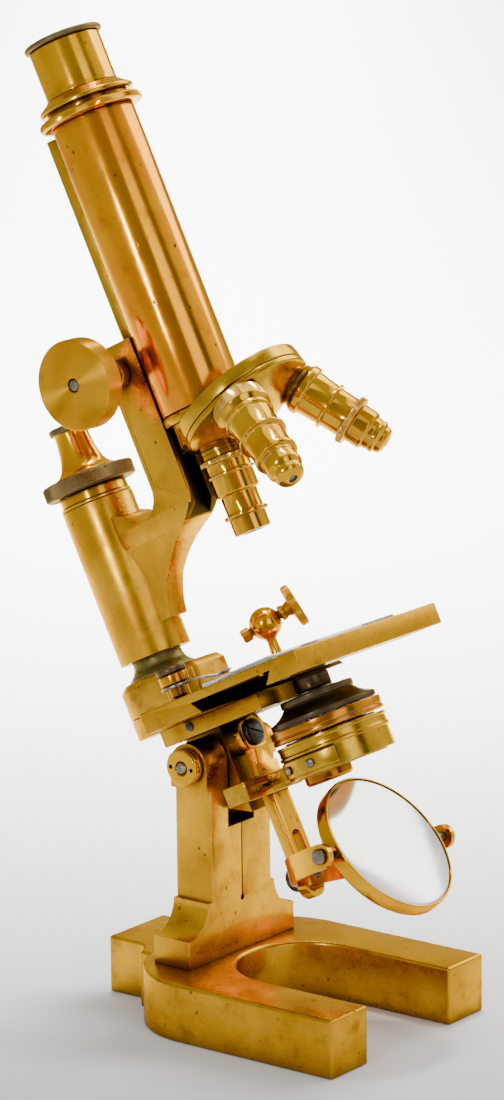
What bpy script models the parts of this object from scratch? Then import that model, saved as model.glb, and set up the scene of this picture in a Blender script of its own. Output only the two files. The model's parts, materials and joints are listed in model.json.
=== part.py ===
"""Antique brass monocular microscope on a horseshoe foot, leaning back on its inclination joint.

World frame: +X runs forward between the open prongs, +Y to the far side, +Z up. The origin is on the
foot's underside below the pillar. Everything that leans is drawn upright in the limb's own frame (u
forward, v across, w up), whose origin is the trunnion. Driving sizes are in millimetres.
"""

import math

import bmesh
import bpy
from mathutils import Matrix, Vector

MM = 0.001

# Segment counts of round pieces
FINE = 20
MEDIUM = 14
SMALL = 8

# Stand
FOOT_HEIGHT = 22.2
FOOT_HALF_WIDTH = 48.0
PRONG_END = 85.2
GAP_HALF_WIDTH = 25.8
GAP_CENTRE = 38.0
FOOT_BEVEL = 1.4
PILLAR_HALF_X = 8.4
PILLAR_HALF_Y = 17.9
PLINTH_HALF_Y = 32.2
CHEEK_PAD_Y = 20.8
FORK_HALF_GAP = 7.9
FORK_FLOOR = 72.0
TRUNNION_Z = 97.25
LEAN = math.radians(26.2)
FOOT_SCREW_Y = 20.0

# Limb
TONGUE_HALF = 7.4
HINGE_PLATE = (-6.4, 44.0, 22.0, 9.3, 15.3)
STAGE = (6.0, 85.9, 43.45, 15.6, 23.6)
COLUMN_U = -13.0
OPTIC_U = 52.8
BOSS_R = 17.7
SLEEVE_R = 14.06
SLEEVE_BORE = 10.0
SLEEVE_LOW = 43.9
SLEEVE_TOP = 105.8

# Arm and pinion
ARM_HALF = 9.0
ARM_WAIST = 5.0
ARM_FRONT = 38.1
ARM_REAR = 21.7
ARM_TOP = 155.4
PINION_U = 27.7
PINION_W = 144.5

# Body tube
TUBE_R = 16.0
TUBE_BORE = 14.9
TUBE_LOW = 122.0
TUBE_TOP = 236.0

# Nosepiece
APEX_W = 164.1
NOSE_TILT = math.radians(20.7)
NOSE_R = 26.7
NOSE_TOP = 46.2
NOSE_SPLIT = 51.5

# Tailpiece, substage and mirror
BAR_REAR = 14.8
BAR_FRONT = 19.5
BAR_STEP = 17.8
BAR_HALF = 5.45
BAR_PIVOT_W = 3.3
MIRROR_PIVOT = (56.3, 0.0, -53.6)
MIRROR_CENTRE = (59.6, 0.0, -52.7)
MIRROR_NORMAL = (0.944, 0.045, 0.326)
MIRROR_AXIS = (0.0, 0.990, -0.140)
MIRROR_CELL_R = 29.0
FORK_R = 36.5

FINISHES = {
    "brass": ((0.80, 0.50, 0.16), 1.0, 0.30),
    "red_brass": ((0.72, 0.30, 0.12), 1.0, 0.28),
    "bronze": ((0.16, 0.11, 0.07), 1.0, 0.45),
    "steel": ((0.22, 0.21, 0.20), 1.0, 0.40),
    "glass": ((0.85, 0.92, 0.88), 0.0, 0.05),
    "silver": ((0.92, 0.92, 0.86), 1.0, 0.05),
}


def clear_scene():
    for obj in list(bpy.data.objects):
        bpy.data.objects.remove(obj, do_unlink=True)


def finish_for(name, kind):
    colour, metallic, roughness = FINISHES[kind]
    made = bpy.data.materials.new(name + "_finish")
    made.use_nodes = True
    shader = made.node_tree.nodes["Principled BSDF"]
    shader.inputs["Base Color"].default_value = (*colour, 1.0)
    shader.inputs["Metallic"].default_value = metallic
    shader.inputs["Roughness"].default_value = roughness
    return made


def axis_frame(base, origin, direction=(0.0, 0.0, 1.0), side=(1.0, 0.0, 0.0)):
    """A frame inside base whose Z is direction and whose X is as near to side as it can be."""
    z = Vector(direction).normalized()
    y = z.cross(Vector(side)).normalized()
    x = y.cross(z)
    turn = Matrix((x, y, z)).transposed().to_4x4()
    return base @ Matrix.Translation(Vector(origin) * MM) @ turn


WORLD = Matrix.Identity(4)
LIMB = Matrix.Translation((0, 0, TRUNNION_Z * MM)) @ Matrix.Rotation(-LEAN, 4, "Y")


def mesh_object(name, points, faces, frame, kind, smooth):
    mesh = bpy.data.meshes.new(name)
    mesh.from_pydata([Vector(p) * MM for p in points], [], faces)
    work = bmesh.new()
    work.from_mesh(mesh)
    bmesh.ops.recalc_face_normals(work, faces=work.faces)
    work.to_mesh(mesh)
    work.free()
    if smooth:
        mesh.shade_smooth()
        mesh.set_sharp_from_angle(angle=math.radians(32))
    obj = bpy.data.objects.new(name, mesh)
    bpy.context.scene.collection.objects.link(obj)
    obj.matrix_world = frame
    if kind:
        mesh.materials.append(finish_for(name, kind))
    else:
        obj.hide_render = True
        obj.display_type = "WIRE"
    return obj


def turned(name, profile, frame, kind, segments=MEDIUM, ring=False):
    """Revolves (radius, height) points about the frame's Z. A ring profile is a closed loop clear of the axis."""
    points = []
    rows = []
    for radius, height in profile:
        if radius == 0:
            rows.append([len(points)] * segments)
            points.append((0.0, 0.0, height))
            continue
        rows.append(list(range(len(points), len(points) + segments)))
        for i in range(segments):
            angle = 2 * math.pi * (i + 0.5) / segments
            points.append((radius * math.cos(angle), radius * math.sin(angle), height))
    if ring:
        rows.append(rows[0])
    faces = []
    for low, high in zip(rows, rows[1:]):
        for i in range(segments):
            j = (i + 1) % segments
            corners = [low[i], low[j], high[j], high[i]]
            faces.append(list(dict.fromkeys(corners)))
    return mesh_object(name, points, faces, frame, kind, True)


def inset(outline, distance):
    """Moves each side of a counterclockwise outline inwards."""
    moved = []
    count = len(outline)
    for i in range(count):
        before = Vector(outline[i - 1])
        here = Vector(outline[i])
        after = Vector(outline[(i + 1) % count])
        first = (here - before).normalized()
        second = (after - here).normalized()
        normal = Vector((-first.y - second.y, first.x + second.x)).normalized()
        stretch = max(0.35, normal.dot(Vector((-second.y, second.x))))
        moved.append(tuple(here + normal * (distance / stretch)))
    return moved


PLANES = {
    "xy": lambda a, b, c: (a, b, c),
    "xz": lambda a, b, c: (a, c, b),
    "yz": lambda a, b, c: (c, a, b),
}


def prism(name, outline, low, high, frame, kind, plane="xy", bevels=(0.0, 0.0), smooth=False):
    """Extrudes a counterclockwise outline from low to high. Each bevel chamfers that end's edge."""
    levels = []
    if bevels[0]:
        levels.append((inset(outline, bevels[0]), low))
        levels.append((outline, low + bevels[0]))
    else:
        levels.append((outline, low))
    if bevels[1]:
        levels.append((outline, high - bevels[1]))
        levels.append((inset(outline, bevels[1]), high))
    else:
        levels.append((outline, high))
    place = PLANES[plane]
    points = [place(a, b, level) for line, level in levels for a, b in line]
    count = len(outline)
    faces = [list(range(count)), list(range((len(levels) - 1) * count, len(levels) * count))]
    for row in range(len(levels) - 1):
        for i in range(count):
            j = (i + 1) % count
            base = row * count
            faces.append([base + i, base + j, base + count + j, base + count + i])
    return mesh_object(name, points, faces, frame, kind, smooth)


def block(name, low, high, frame, kind, bevel=0.0):
    outline = [(low[0], low[1]), (high[0], low[1]), (high[0], high[1]), (low[0], high[1])]
    return prism(name, outline, low[2], high[2], frame, kind, bevels=(bevel, bevel))


def rod(name, radius, low, high, frame, kind=None, segments=SMALL):
    return turned(name, [(0, low), (radius, low), (radius, high), (0, high)], frame, kind, segments)


def combine(obj, helper, operation):
    step = obj.modifiers.new(operation.title(), "BOOLEAN")
    step.operation = operation
    step.solver = "EXACT"
    step.object = helper
    helper.hide_render = True
    helper.display_type = "WIRE"


def cut(obj, *helpers):
    for helper in helpers:
        combine(obj, helper, "DIFFERENCE")


def join(obj, *helpers):
    for helper in helpers:
        combine(obj, helper, "UNION")


def arc(centre, radius, start, end, count):
    """Points along an arc, both ends included. Angles are in degrees."""
    made = []
    for i in range(count + 1):
        angle = math.radians(start + (end - start) * i / count)
        made.append((centre[0] + radius * math.cos(angle), centre[1] + radius * math.sin(angle)))
    return made


def flow(points, count):
    """A smooth curve through the points, without its last point."""
    made = []
    for i in range(len(points) - 1):
        p = [Vector(points[min(max(k, 0), len(points) - 1)]) for k in range(i - 1, i + 3)]
        for step in range(count):
            t = step / count
            made.append(tuple(0.5 * (2 * p[1] + (p[2] - p[0]) * t
                                     + (2 * p[0] - 5 * p[1] + 4 * p[2] - p[3]) * t * t
                                     + (3 * p[1] - p[0] - 3 * p[2] + p[3]) * t ** 3)))
    return made


def slotted_screw(name, head_r, head_h, shaft_r, length, frame, slot=0.8):
    """Head from Z 0 up to head_h, shaft below it, and a driver slot across the head."""
    screw = turned(name, [(0, -length), (shaft_r, -length), (shaft_r, 0), (head_r, 0),
                          (head_r, head_h * 0.7), (head_r * 0.88, head_h), (0, head_h)],
                   frame, "steel", SMALL)
    cut(screw, block(name + "_slot", (-slot / 2, -head_r * 2, head_h * 0.5),
                     (slot / 2, head_r * 2, head_h * 2), frame, None))
    return screw


# ---- Stand ----

def foot():
    side = [(PRONG_END, GAP_HALF_WIDTH), (PRONG_END, FOOT_HALF_WIDTH - 1.0), (PRONG_END - 1.0, FOOT_HALF_WIDTH)]
    side += arc((14.5, 15.0), 33.0, 90, 164, 8)
    side += [(-17.9, 24.1), (-22.0, 24.0)]
    side += arc((-29.6, 24.0), 7.6, -15, -90, 5)
    side += [(-42.2, 16.4), (-43.2, 15.4)]
    inner = arc((GAP_CENTRE, 0.0), GAP_HALF_WIDTH, 270, 90, 20)
    outline = side + [(x, -y) for x, y in reversed(side)] + inner
    made = prism("foot", outline, 0.0, FOOT_HEIGHT, WORLD, "brass", bevels=(0.0, FOOT_BEVEL), smooth=True)
    for sign, tag in ((-1, "near"), (1, "far")):
        place = axis_frame(WORLD, (0, sign * FOOT_SCREW_Y, 0))
        cut(made, turned("foot_hole_" + tag, [(0, -1), (5.2, -1), (5.2, 3.6), (2.6, 3.6),
                                              (2.6, 24), (0, 24)], place, None, SMALL))
    return made


def pillar():
    half = [(PLINTH_HALF_Y, FOOT_HEIGHT + 0.3), (PLINTH_HALF_Y, 32.9)]
    half += arc((PLINTH_HALF_Y, 44.9), 12.0, 270, 180, 8)[1:]
    half += [(PILLAR_HALF_Y, 44.9), (PILLAR_HALF_Y, 88.0), (CHEEK_PAD_Y, 88.0), (CHEEK_PAD_Y, 110.0),
             (FORK_HALF_GAP, 110.0), (FORK_HALF_GAP, FORK_FLOOR)]
    outline = half + [(-y, z) for y, z in reversed(half)]
    made = prism("pillar", outline, -PILLAR_HALF_X, PILLAR_HALF_X, WORLD, "brass", plane="yz")
    crown = [(-PILLAR_HALF_X - 1, 0), (PILLAR_HALF_X + 1, 0), (PILLAR_HALF_X + 1, 87.0), (PILLAR_HALF_X, 88.0)]
    crown += arc((0, TRUNNION_Z), PILLAR_HALF_X, 0, 180, 14)
    crown += [(-PILLAR_HALF_X, 88.0), (-PILLAR_HALF_X - 1, 87.0)]
    combine(made, prism("pillar_crown", crown, -60, 60, WORLD, None, plane="xz"), "INTERSECT")
    slit = [(-0.05, 43.0), (0.65, 43.0), (0.65, 80.0), (-0.05, 80.0)]
    cut(made, prism("pillar_slit", slit, -20, 20, WORLD, None, plane="yz"))
    cut(made, rod("pillar_slit_end", 1.1, -20, 20, axis_frame(WORLD, (0, 0.3, 42.6), (1, 0, 0), (0, 0, 1))))
    cut(made, rod("pillar_pin_hole", 3.3, -40, 40, axis_frame(WORLD, (0, 0, TRUNNION_Z), (0, 1, 0)),
                  segments=MEDIUM))
    for sign, tag in ((-1, "near"), (1, "far")):
        cut(made, rod("pillar_tap_" + tag, 2.3, 10, 31, axis_frame(WORLD, (0, sign * FOOT_SCREW_Y, 0))))
    return made


def stand_fittings():
    for sign, tag in ((-1, "near"), (1, "far")):
        under = axis_frame(WORLD, (0, sign * FOOT_SCREW_Y, 3.3), (0, 0, -1))
        slotted_screw("foot_screw_" + tag, 4.8, 2.6, 2.0, 26.0, under)
        side = axis_frame(WORLD, (0, sign * (CHEEK_PAD_Y + 0.3), TRUNNION_Z), (0, sign, 0))
        nut = turned("pivot_nut_" + tag, [(2.7, 0), (6.6, 0), (6.6, 0.6), (7.0, 0.7), (7.0, 3.6), (6.5, 4.2),
                                          (2.7, 4.2)], side, "brass", MEDIUM, ring=True)
        for shift in (-4.7, 4.7):
            hole = axis_frame(side, (shift, 0, 0))
            cut(nut, rod("spanner_hole_%s_%d" % (tag, shift > 0), 0.8, 2.4, 6.0, hole, segments=8))
    half = CHEEK_PAD_Y
    turned("pivot_pin", [(0, -half - 5.4), (1.6, -half - 5.1), (2.4, -half - 4.2), (2.4, -half), (3.0, -half),
                         (3.0, half), (2.4, half), (2.4, half + 4.2), (1.6, half + 5.1), (0, half + 5.4)],
           axis_frame(WORLD, (0, 0, TRUNNION_Z), (0, 1, 0)), "steel", MEDIUM)


# ---- Limb ----

def hinge_plate():
    rear, front, half, low, high = HINGE_PLATE
    made = block("hinge_plate", (rear, -half, low), (front, half, high), LIMB, "brass", bevel=0.4)
    tongue = [(9.5, 12.0), (-8.4, 12.0)] + arc((0, 0), 8.4, 180, 256, 8) + [(0.3, -20.4), (9.5, -24.3)]
    join(made, prism("tongue", tongue, -TONGUE_HALF, TONGUE_HALF, LIMB, None, plane="xz"))
    pivot = axis_frame(LIMB, (0, 0, BAR_PIVOT_W), (1, 0, 0), (0, 0, 1))
    join(made, rod("bar_seat", 7.0, 5.0, BAR_REAR - 0.3, pivot, segments=MEDIUM))
    cut(made, rod("trunnion_bore", 3.3, -30, 30, axis_frame(LIMB, (0, 0, 0), (0, 1, 0)), segments=MEDIUM))
    cut(made, rod("bar_pocket", 8.5, BAR_REAR - 0.3, BAR_FRONT + 1.0, pivot, segments=MEDIUM))
    cut(made, rod("bar_screw_tap", 2.9, 7.5, 20.0, pivot))
    cut(made, rod("condenser_notch", 14.9, -5.0, 30.0, axis_frame(LIMB, (OPTIC_U, 0, 0)), segments=FINE))
    cut(made, rod("plate_screw_tap", 1.3, 16.0, 24.0, axis_frame(LIMB, (8.6, 0, 13.1), (0, -1, 0))))
    slotted_screw("plate_screw", 1.9, 0.9, 1.0, 5.0, axis_frame(LIMB, (8.6, -half - 0.3, 13.1), (0, -1, 0)), 0.45)
    return made


def stage():
    rear, front, half, low, high = STAGE
    round_r = 1.2
    outline = [(rear + round_r, -half), (front - round_r, -half), (front, -half + round_r)]
    outline += [(front, half - round_r), (front - round_r, half), (rear + round_r, half), (rear, half - round_r)]
    outline += [(rear, BOSS_R)] + arc((COLUMN_U, 0), BOSS_R, 90, 270, 18) + [(rear, -BOSS_R)]
    outline += [(rear, -half + round_r)]
    plate = prism("stage_plate", outline, low, high, LIMB, "brass", bevels=(0.3, 0.5))
    groove = [(36.0, low - 1), (67.0, low - 1), (72.0, 20.2), (31.5, 20.2)]
    cut(plate, prism("stage_groove", groove, -60, 60, LIMB, None, plane="xz"))
    light = axis_frame(LIMB, (OPTIC_U, 0, 0))
    cut(plate, rod("stage_aperture", 9.5, 10, 30, light, segments=MEDIUM))
    cut(plate, rod("clip_socket", 2.4, 17.2, 30, axis_frame(LIMB, (21.9, -36, 0))))
    cut(plate, rod("ball_socket", 2.7, 17.2, 30, axis_frame(LIMB, (17.5, 30, 0))))
    block("stage_glass", (35.0, -38.0, high + 0.3), (70.0, 38.0, high + 1.8), LIMB, "glass", bevel=0.3)
    return plate


def limb_boss():
    flat = 17.5
    nose = 10.0
    outline = arc((COLUMN_U, 0), BOSS_R, 98, 262, 20)
    outline += [(0.5, -flat), (3.0, -nose - 2.0), (5.0, -nose), (9.5, -nose), (11.0, -nose + 1.5)]
    outline += [(11.0, nose - 1.5), (9.5, nose), (5.0, nose), (3.0, nose + 2.0), (0.5, flat)]
    body = prism("limb_boss", outline, STAGE[4] + 0.3, 36.6, LIMB, "brass", bevels=(0.0, 2.2), smooth=True)
    column = axis_frame(LIMB, (COLUMN_U, 0, 0))
    turned("column_core", [(0, 36.9), (12.0, 36.9), (11.6, 38.2), (10.2, 39.6), (9.7, 41.0), (9.7, 98.0),
                           (8.7, 99.0), (0, 99.0)], column, "brass", MEDIUM)
    return body


# ---- Arm, fine adjustment and coarse adjustment ----

def arm():
    column = axis_frame(LIMB, (COLUMN_U, 0, 0))
    made = turned("arm", [(SLEEVE_BORE, SLEEVE_LOW), (SLEEVE_R - 0.5, SLEEVE_LOW), (SLEEVE_R, SLEEVE_LOW + 0.5),
                          (SLEEVE_R, SLEEVE_TOP - 0.5), (SLEEVE_R - 0.5, SLEEVE_TOP), (SLEEVE_BORE, SLEEVE_TOP)],
                  column, "brass", FINE, ring=True)
    front = flow([(4.5, 54.5), (6.9, 62.5), (11.6, 70.5), (21.0, 79.0), (31.0, 85.0), (36.6, 91.0),
                  (ARM_FRONT, 97.0)], 4)
    outline = [(-1.5, 54.5)] + front
    outline += [(ARM_FRONT, 97.0), (ARM_FRONT, ARM_TOP - 1.0), (ARM_FRONT - 1.0, ARM_TOP)]
    outline += [(ARM_REAR + 1.0, ARM_TOP), (ARM_REAR, ARM_TOP - 1.0)]
    outline += arc((11.6, 101.0), 10.1, 0, -150, 12) + [(-1.5, 97.5)]
    blade = prism("arm_blade", outline, -ARM_HALF, ARM_HALF, LIMB, None, plane="xz")
    waist = [(-ARM_WAIST, 50.0), (ARM_WAIST, 50.0), (ARM_WAIST, 71.0), (ARM_WAIST + 0.6, 76.0),
             (ARM_HALF - 0.8, 84.0), (ARM_HALF, 89.0), (ARM_HALF, 170.0)]
    waist += [(-ARM_HALF, 170.0), (-ARM_HALF, 89.0), (-ARM_HALF + 0.8, 84.0), (-ARM_WAIST - 0.6, 76.0),
              (-ARM_WAIST, 71.0)]
    combine(blade, prism("arm_waist", waist, -30, 60, LIMB, None, plane="yz"), "INTERSECT")
    join(made, blade)
    seat = [(-7.8, 170.0), (-7.8, 91.0)] + arc((0, 87.5), 4.2, 195, 345, 6) + [(7.8, 91.0), (7.8, 170.0)]
    cut(made, prism("tube_seat", seat, 36.1, 60, LIMB, None, plane="yz"))
    channel = [(37.0, -4.7), (37.0, 4.7), (36.1, 4.7), (31.7, 6.3), (31.7, -6.3), (36.1, -4.7)]
    cut(made, prism("bar_channel", channel[::-1], 80.5, 170, LIMB, None))
    cut(made, rod("pinion_bore", 4.6, -20, 20, axis_frame(LIMB, (PINION_U, 0, PINION_W), (0, 1, 0))))
    return made


def fine_adjustment():
    column = axis_frame(LIMB, (COLUMN_U, 0, 0))
    turned("column_collar", [(3.6, 106.1), (13.9, 106.1), (13.9, 107.2), (13.2, 107.6), (13.2, 110.6),
                             (12.8, 111.1), (3.6, 111.1)], column, "brass", FINE, ring=True)
    turned("fine_disc", [(5.0, 111.6), (17.6, 111.6), (18.0, 112.0), (18.0, 116.6), (17.4, 117.2), (5.0, 117.2)],
           column, "bronze", FINE, ring=True)
    turned("fine_knob", [(0, 100.0), (3.0, 100.0), (3.0, 111.6), (4.7, 111.6), (4.7, 117.5), (12.4, 117.5),
                         (12.3, 118.3), (8.7, 121.0), (7.3, 124.0), (6.6, 129.5), (6.3, 134.0), (7.6, 134.8),
                         (7.6, 136.6), (7.0, 137.1), (0, 137.1)], column, "brass", FINE)


def coarse_adjustment():
    axis = axis_frame(LIMB, (PINION_U, 0, PINION_W), (0, 1, 0), (0, 0, 1))
    turned("pinion_shaft", [(0, -36.3), (1.8, -36.3), (2.5, -35.6), (2.5, -8.5), (4.1, -8.5), (4.1, 8.5),
                            (2.5, 8.5), (2.5, 35.6), (1.8, 36.3), (0, 36.3)], axis, "steel", SMALL)
    for sign, tag in ((-1, "near"), (1, "far")):
        place = axis_frame(LIMB, (PINION_U, 0, PINION_W), (0, sign, 0), (0, 0, 1))
        turned("pinion_bush_" + tag, [(2.8, 9.3), (5.3, 9.3), (5.3, 27.7), (2.8, 27.7)], place, "red_brass",
               MEDIUM, ring=True)
        turned("coarse_knob_" + tag, [(2.8, 28.1), (16.2, 28.1), (17.0, 28.9), (17.0, 35.6), (16.2, 36.4),
                                      (4.4, 36.4), (4.2, 36.0), (2.8, 36.0)], place, "brass", FINE, ring=True)


# ---- Optical body ----

def body_tube():
    optic = axis_frame(LIMB, (OPTIC_U, 0, 0))
    turned("body_tube", [(TUBE_BORE, TUBE_LOW), (TUBE_R, TUBE_LOW), (TUBE_R, TUBE_TOP), (TUBE_BORE, TUBE_TOP)],
           optic, "brass", FINE, ring=True)
    bar = [(36.5, -4.2), (36.5, 4.2), (32.2, 5.8), (32.2, -5.8)]
    prism("rack_bar", bar, 127.0, 235.0, LIMB, "brass")
    turned("tube_ring", [(15.0, 236.3), (19.6, 236.3), (20.0, 236.7), (20.0, 239.0), (19.6, 239.4), (15.6, 239.6),
                         (15.6, 241.4), (15.0, 241.4)], optic, "brass", FINE, ring=True)
    turned("draw_tube", [(13.2, 170.0), (14.6, 170.0), (14.6, 241.7), (18.3, 241.7), (18.3, 243.7), (15.2, 246.4),
                         (13.2, 246.4)], optic, "brass", FINE, ring=True)
    turned("eyepiece_barrel", [(11.6, 214.0), (12.9, 214.0), (12.9, 246.7), (13.7, 246.7), (13.7, 265.8),
                               (11.6, 265.8)], optic, "brass", FINE, ring=True)
    turned("eyepiece_cap", [(5.0, 266.1), (14.7, 266.1), (15.1, 266.6), (15.1, 267.8), (14.2, 268.5), (8.5, 268.2),
                            (5.0, 266.9)], optic, "bronze", FINE, ring=True)
    turned("eye_lens", [(0, 262.3), (11.2, 262.9), (11.2, 264.6), (0, 265.6)], optic, "glass", MEDIUM)


def nosepiece():
    nose = axis_frame(LIMB, (OPTIC_U, 0, APEX_W), (math.sin(NOSE_TILT), 0, -math.cos(NOSE_TILT)), (0, 1, 0))
    optic = axis_frame(LIMB, (OPTIC_U, 0, 0))
    plate = turned("nose_plate", [(0, NOSE_TOP), (NOSE_R - 0.6, NOSE_TOP), (NOSE_R, NOSE_TOP + 0.6),
                                  (NOSE_R, NOSE_SPLIT - 0.9), (NOSE_R - 0.6, NOSE_SPLIT - 0.3),
                                  (0, NOSE_SPLIT - 0.3)], nose, "brass", FINE)
    neck = turned("nose_neck", [(0, 96), (14.0, 96), (14.0, 117.8), (16.2, 118.2), (16.4, 121.0), (15.9, 121.7),
                                (0, 121.7)], optic, None, FINE)
    cut(neck, block("nose_neck_trim", (-60, -60, NOSE_SPLIT - 3.0), (60, 60, 110), nose, None))
    join(plate, neck)
    cut(plate, rod("nose_light_way", 9.0, 90, 130, optic, segments=MEDIUM))
    cut(plate, rod("nose_pivot_tap", 2.7, NOSE_TOP + 1.5, 70, nose))
    disc = turned("nose_disc", [(2.7, NOSE_SPLIT + 0.2), (NOSE_R, NOSE_SPLIT + 0.2), (NOSE_R, NOSE_SPLIT + 1.9),
                                (NOSE_R - 0.4, NOSE_SPLIT + 2.3), (8.5, NOSE_SPLIT + 9.1),
                                (2.7, NOSE_SPLIT + 9.1)], nose, "brass", FINE, ring=True)
    turned("nose_screw", [(0, NOSE_TOP + 2.0), (2.3, NOSE_TOP + 2.0), (2.3, NOSE_SPLIT + 9.4),
                          (5.4, NOSE_SPLIT + 9.4), (5.4, NOSE_SPLIT + 10.7), (4.6, NOSE_SPLIT + 11.3),
                          (0, NOSE_SPLIT + 11.5)], nose, "steel", MEDIUM)
    for index, frame in enumerate(objective_frames()):
        join(disc, rod("nose_boss_%d" % index, 8.4, 59.3, 60.6, frame, segments=MEDIUM))
        cut(disc, rod("nose_way_%d" % index, 7.0, 50.0, 70.0, frame, segments=MEDIUM))


def objective_frames():
    """Frames at the cone's apex with Z along each objective: one on the optical axis, two turned forward."""
    frames = []
    for direction in ((0, 0, -1), (0.496, -0.306, -0.8125), (0.496, 0.306, -0.8125)):
        frames.append(axis_frame(LIMB, (OPTIC_U, 0, APEX_W), direction, (0, 1, 0)))
    return frames


def objectives():
    first, second, third = objective_frames()
    thread = [(4.0, 58.2), (6.6, 58.2), (6.6, 60.9)]
    low = thread + [(8.6, 60.9), (8.6, 62.6), (9.7, 62.8), (9.7, 64.8), (8.6, 65.0), (8.6, 68.6), (9.2, 68.8),
                    (9.2, 70.2), (8.4, 70.4), (8.4, 77.0), (7.0, 77.6), (7.0, 84.4), (8.45, 84.6), (8.45, 86.0),
                    (7.05, 86.3), (7.05, 92.5), (4.0, 92.5)]
    turned("objective_low", low, first, "brass", MEDIUM, ring=True)
    high = thread + [(9.8, 60.9), (10.5, 61.6), (10.5, 66.0), (9.2, 67.6), (8.6, 68.4), (9.6, 68.8), (9.6, 70.4),
                     (8.6, 70.8), (8.6, 79.6), (9.0, 80.0), (9.0, 81.6), (7.8, 82.2), (7.8, 89.6), (8.3, 90.0),
                     (8.3, 91.2), (6.8, 92.0), (6.8, 98.0), (4.8, 103.2), (4.0, 103.6)]
    turned("objective_high", high, second, "brass", MEDIUM, ring=True)
    mid = thread + [(8.8, 60.9), (9.8, 62.2), (9.8, 64.2), (8.6, 64.8), (8.2, 73.6), (8.5, 73.8), (8.5, 75.4),
                    (7.9, 75.8), (7.9, 82.2), (9.7, 82.5), (9.7, 84.6), (7.6, 85.4), (7.6, 91.0), (6.4, 92.0),
                    (6.4, 95.6), (5.2, 96.4), (5.2, 99.3), (4.0, 99.3)]
    turned("objective_mid", mid, third, "brass", MEDIUM, ring=True)
    for tag, frame, end in (("low", first, 91.4), ("high", second, 102.6), ("mid", third, 98.2)):
        turned("front_lens_" + tag, [(0, end - 2.4), (3.7, end - 2.4), (3.7, end - 0.6), (0, end)], frame, "glass",
               SMALL)


# ---- Stage fittings ----

def stage_clip():
    post = axis_frame(LIMB, (21.9, -36.0, 0))
    turned("clip_post", [(0, 17.6), (2.1, 17.6), (2.1, 24.0), (3.2, 24.2), (3.2, 29.1), (5.5, 29.4), (5.5, 32.6),
                         (4.0, 33.0), (0, 33.0)], post, "brass", SMALL)
    turned("clip_cap", [(0, 33.3), (5.2, 33.3), (5.7, 33.7), (5.7, 35.2), (5.0, 35.7), (0, 35.7)], post, "bronze",
           SMALL)
    spring = turned("clip_spring", [(3.5, 27.9), (5.8, 27.9), (5.8, 28.8), (3.5, 28.8)], post, "steel", SMALL,
                    ring=True)
    line = [(4.6, 28.0), (10.0, 28.0), (16.0, 26.9), (22.0, 25.8), (25.5, 26.4)]
    outline = line + [(x, z + 0.7) for x, z in reversed(line)]
    join(spring, prism("clip_leaf", outline, -2.6, 2.6, post, None, plane="xz"))


def stop_post():
    post = axis_frame(LIMB, (17.5, 30.0, 0))
    ball_r = 6.3
    ball_w = 40.2
    ball = [(ball_r * math.cos(math.radians(a)), ball_w + ball_r * math.sin(math.radians(a)))
            for a in range(-65, 90, 14)]
    made = turned("ball_post", [(0, 17.6), (2.4, 17.6), (2.4, 26.0), (1.9, 33.0)] + ball + [(0, ball_w + ball_r)],
                  post, "brass", MEDIUM)
    axis = axis_frame(LIMB, (17.5, 30.0, ball_w), (0.766, 0.643, 0.2), (0, 0, 1))
    cut(made, rod("ball_bore", 2.1, -10, 10, axis))
    turned("thumbscrew", [(0, -10.2), (2.3, -10.2), (2.7, -9.6), (2.7, -6.8), (1.8, -6.6), (1.8, 6.4), (3.0, 6.8),
                          (3.0, 8.2), (2.4, 9.0), (3.2, 11.0), (8.0, 11.4), (8.5, 12.0), (8.5, 14.0), (7.8, 14.6),
                          (0, 14.6)], axis, "brass", MEDIUM)


# ---- Tailpiece, substage and mirror ----

def tailpiece():
    boss = 8.0
    half = BAR_HALF
    join_w = BAR_PIVOT_W - math.sqrt(boss ** 2 - half ** 2)
    outline = arc((0, BAR_PIVOT_W), boss, -47, 227, 20)
    outline += [(-half, join_w)] + arc((0, -62.4 + half), half, 180, 360, 10) + [(half, join_w)]
    bar = prism("tail_bar", outline, BAR_REAR, BAR_FRONT, LIMB, "brass", plane="yz", bevels=(0.3, 0.4))
    slot = arc((0, -38.5), 2.5, 0, 180, 8) + arc((0, -54.5), 2.5, 180, 360, 8)
    cut(bar, prism("bar_slot", slot, 0, 40, LIMB, None, plane="yz"))
    cut(bar, block("bar_step", (BAR_STEP, -20, -8.7), (30, 20, 30), LIMB, None))
    pivot = axis_frame(LIMB, (0, 0, BAR_PIVOT_W), (1, 0, 0), (0, 0, 1))
    cut(bar, turned("bar_recess", [(0, 10), (2.9, 10), (2.9, 17.2), (5.4, 17.2), (5.4, 24), (0, 24)], pivot, None,
                    MEDIUM))
    slotted_screw("tail_screw", 5.0, 2.2, 2.5, 8.6,
                  axis_frame(LIMB, (17.5, 0, BAR_PIVOT_W), (1, 0, 0), (0, 0.5, 1)), 1.1)


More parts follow.
